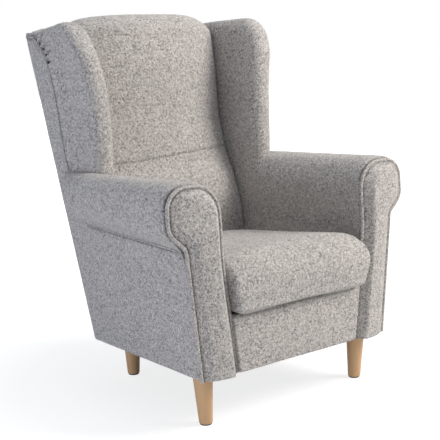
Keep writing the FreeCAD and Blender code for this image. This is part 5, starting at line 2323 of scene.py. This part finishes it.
@dataclass(frozen=True)
class Studio:
    """Pale floor, lamps, world and camera."""

    camera_place: tuple[float, float, float] = (-1.8458, -2.3091, 0.95505)
    yaw: float = math.radians(-39.28)
    pitch: float = math.radians(9.76)
    roll: float = math.radians(-1.72)
    lens: float = 87.75
    sensor: float = 36.0
    clip_end: float = 60.0
    floor_half: float = 14.0
    floor_tone: Colour = (0.86, 0.86, 0.86)
    white: Colour = (1.0, 1.0, 1.0)
    glow: float = 1.36
    glow_near: float = 0.58
    glow_gain: float = 0.42
    glow_from: float = 0.55
    glow_slope: float = 0.7
    shown_to: tuple[str, ...] = ("Camera", "Glossy", "Transmission")
    sky: Colour = (0.80, 0.90, 1.0)
    sky_strength: float = 0.30
    middle: Corner = (0.0, 0.0, 0.5)
    lamps: tuple[Lamp, ...] = (
        Lamp("key", (2.35, -2.35, 2.7), 150.0, 1.8, (1.0, 0.950, 0.90)),
        Lamp("fill", (-3.3, 0.1, 0.6), 37.0, 1.3, (0.79, 0.83, 1.0)),
        Lamp("top", (0.2, -0.1, 3.4), 26.0, 1.8, (0.96, 0.98, 1.0)),
    )

    def floor(self) -> None:
        """White floor that keeps the shadow.

        The camera sees it partly as a constant white, and wholly so further out.
        """
        reach = self.floor_half
        mesh = bpy.data.meshes.new("floor")
        corners = [(-reach, -reach, 0), (reach, -reach, 0), (reach, reach, 0), (-reach, reach, 0)]
        mesh.from_pydata(corners, [], [(0, 1, 2, 3)])
        made = bpy.data.objects.new("floor", mesh)
        bpy.context.scene.collection.objects.link(made)
        recipe = Recipe("floor")
        spot = recipe.node("ShaderNodeTexCoord", {}, {}, "Object")
        far = recipe.node("ShaderNodeVectorMath", {"operation": "LENGTH"}, {0: spot}, "Value")
        ray = recipe.node("ShaderNodeLightPath", {}, {}, "Is Camera Ray")
        lit = recipe.node("ShaderNodeBsdfDiffuse", {}, {"Color": self.floor_tone})
        white = recipe.node("ShaderNodeEmission", {}, {"Color": self.white, "Strength": self.glow})
        outward = ((far - self.glow_from) * self.glow_slope).clamped()
        share = ray * (outward * self.glow_gain + self.glow_near)
        recipe.end(recipe.node("ShaderNodeMixShader", {}, {0: share, 1: lit, 2: white}))
        mesh.materials.append(recipe.holder)

    def world(self) -> None:
        """Plain white for the camera and for gloss, and a dim cool light for the rest."""
        recipe = Recipe("studio", world=True)
        rays = [recipe.node("ShaderNodeLightPath", {}, {}, f"Is {kind} Ray") for kind in self.shown_to]
        shown = rays[0].larger(rays[1]).larger(rays[2])
        soft = recipe.node("ShaderNodeBackground", {}, {"Color": self.sky, "Strength": self.sky_strength})
        white = recipe.node("ShaderNodeBackground", {}, {"Color": self.white, "Strength": 1.0})
        recipe.end(recipe.node("ShaderNodeMixShader", {}, {0: shown, 1: soft, 2: white}))
        bpy.context.scene.world = recipe.holder

    def camera(self) -> None:
        """Camera fitted to the photograph: it looks along yaw and pitch and is rolled a little."""
        back = Vector(
            (
                math.sin(self.yaw) * math.cos(self.pitch),
                -math.cos(self.yaw) * math.cos(self.pitch),
                math.sin(self.pitch),
            )
        )
        right = (-back).cross(Vector((0, 0, 1))).normalized()
        up = right.cross(-back)
        x_axis = right * math.cos(self.roll) + up * math.sin(self.roll)
        y_axis = up * math.cos(self.roll) - right * math.sin(self.roll)
        turn = Matrix((x_axis, y_axis, back)).transposed().to_4x4()
        data = bpy.data.cameras.new("camera")
        data.lens = self.lens
        data.sensor_width = self.sensor
        data.sensor_fit = "AUTO"
        data.clip_end = self.clip_end
        made = bpy.data.objects.new("camera", data)
        made.matrix_world = Matrix.Translation(self.camera_place) @ turn
        bpy.context.scene.collection.objects.link(made)
        bpy.context.scene.camera = made

    def build(self) -> None:
        """Makes the stage and sets the plain view."""
        self.floor()
        self.world()
        for lamp in self.lamps:
            lamp.hang(self.middle)
        self.camera()
        bpy.context.scene.view_settings.view_transform = "Standard"


def main() -> None:
    """Builds the chair piece by piece round the frame, then the stage."""
    logging.basicConfig(level=logging.INFO, format="%(name)s: %(message)s")
    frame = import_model()
    finishes = Finishes()
    finishes.dress_frame(frame)
    body = Body.of_frame()
    for side in Side:
        Arm(body, side).build(finishes)
        Wing(body, side).build(finishes)
        Facing(body, side).build(finishes)
        OuterCloth(body, side).build(finishes)
    BackPad(body).build(finishes)
    RearCloth(body).build(finishes)
    Apron(body).build(finishes)
    Seat(body).build(finishes)
    build_legs(body, finishes)
    DustCloth(body).build(finishes)
    Studio().build()


if __name__ == "__main__":
    main()
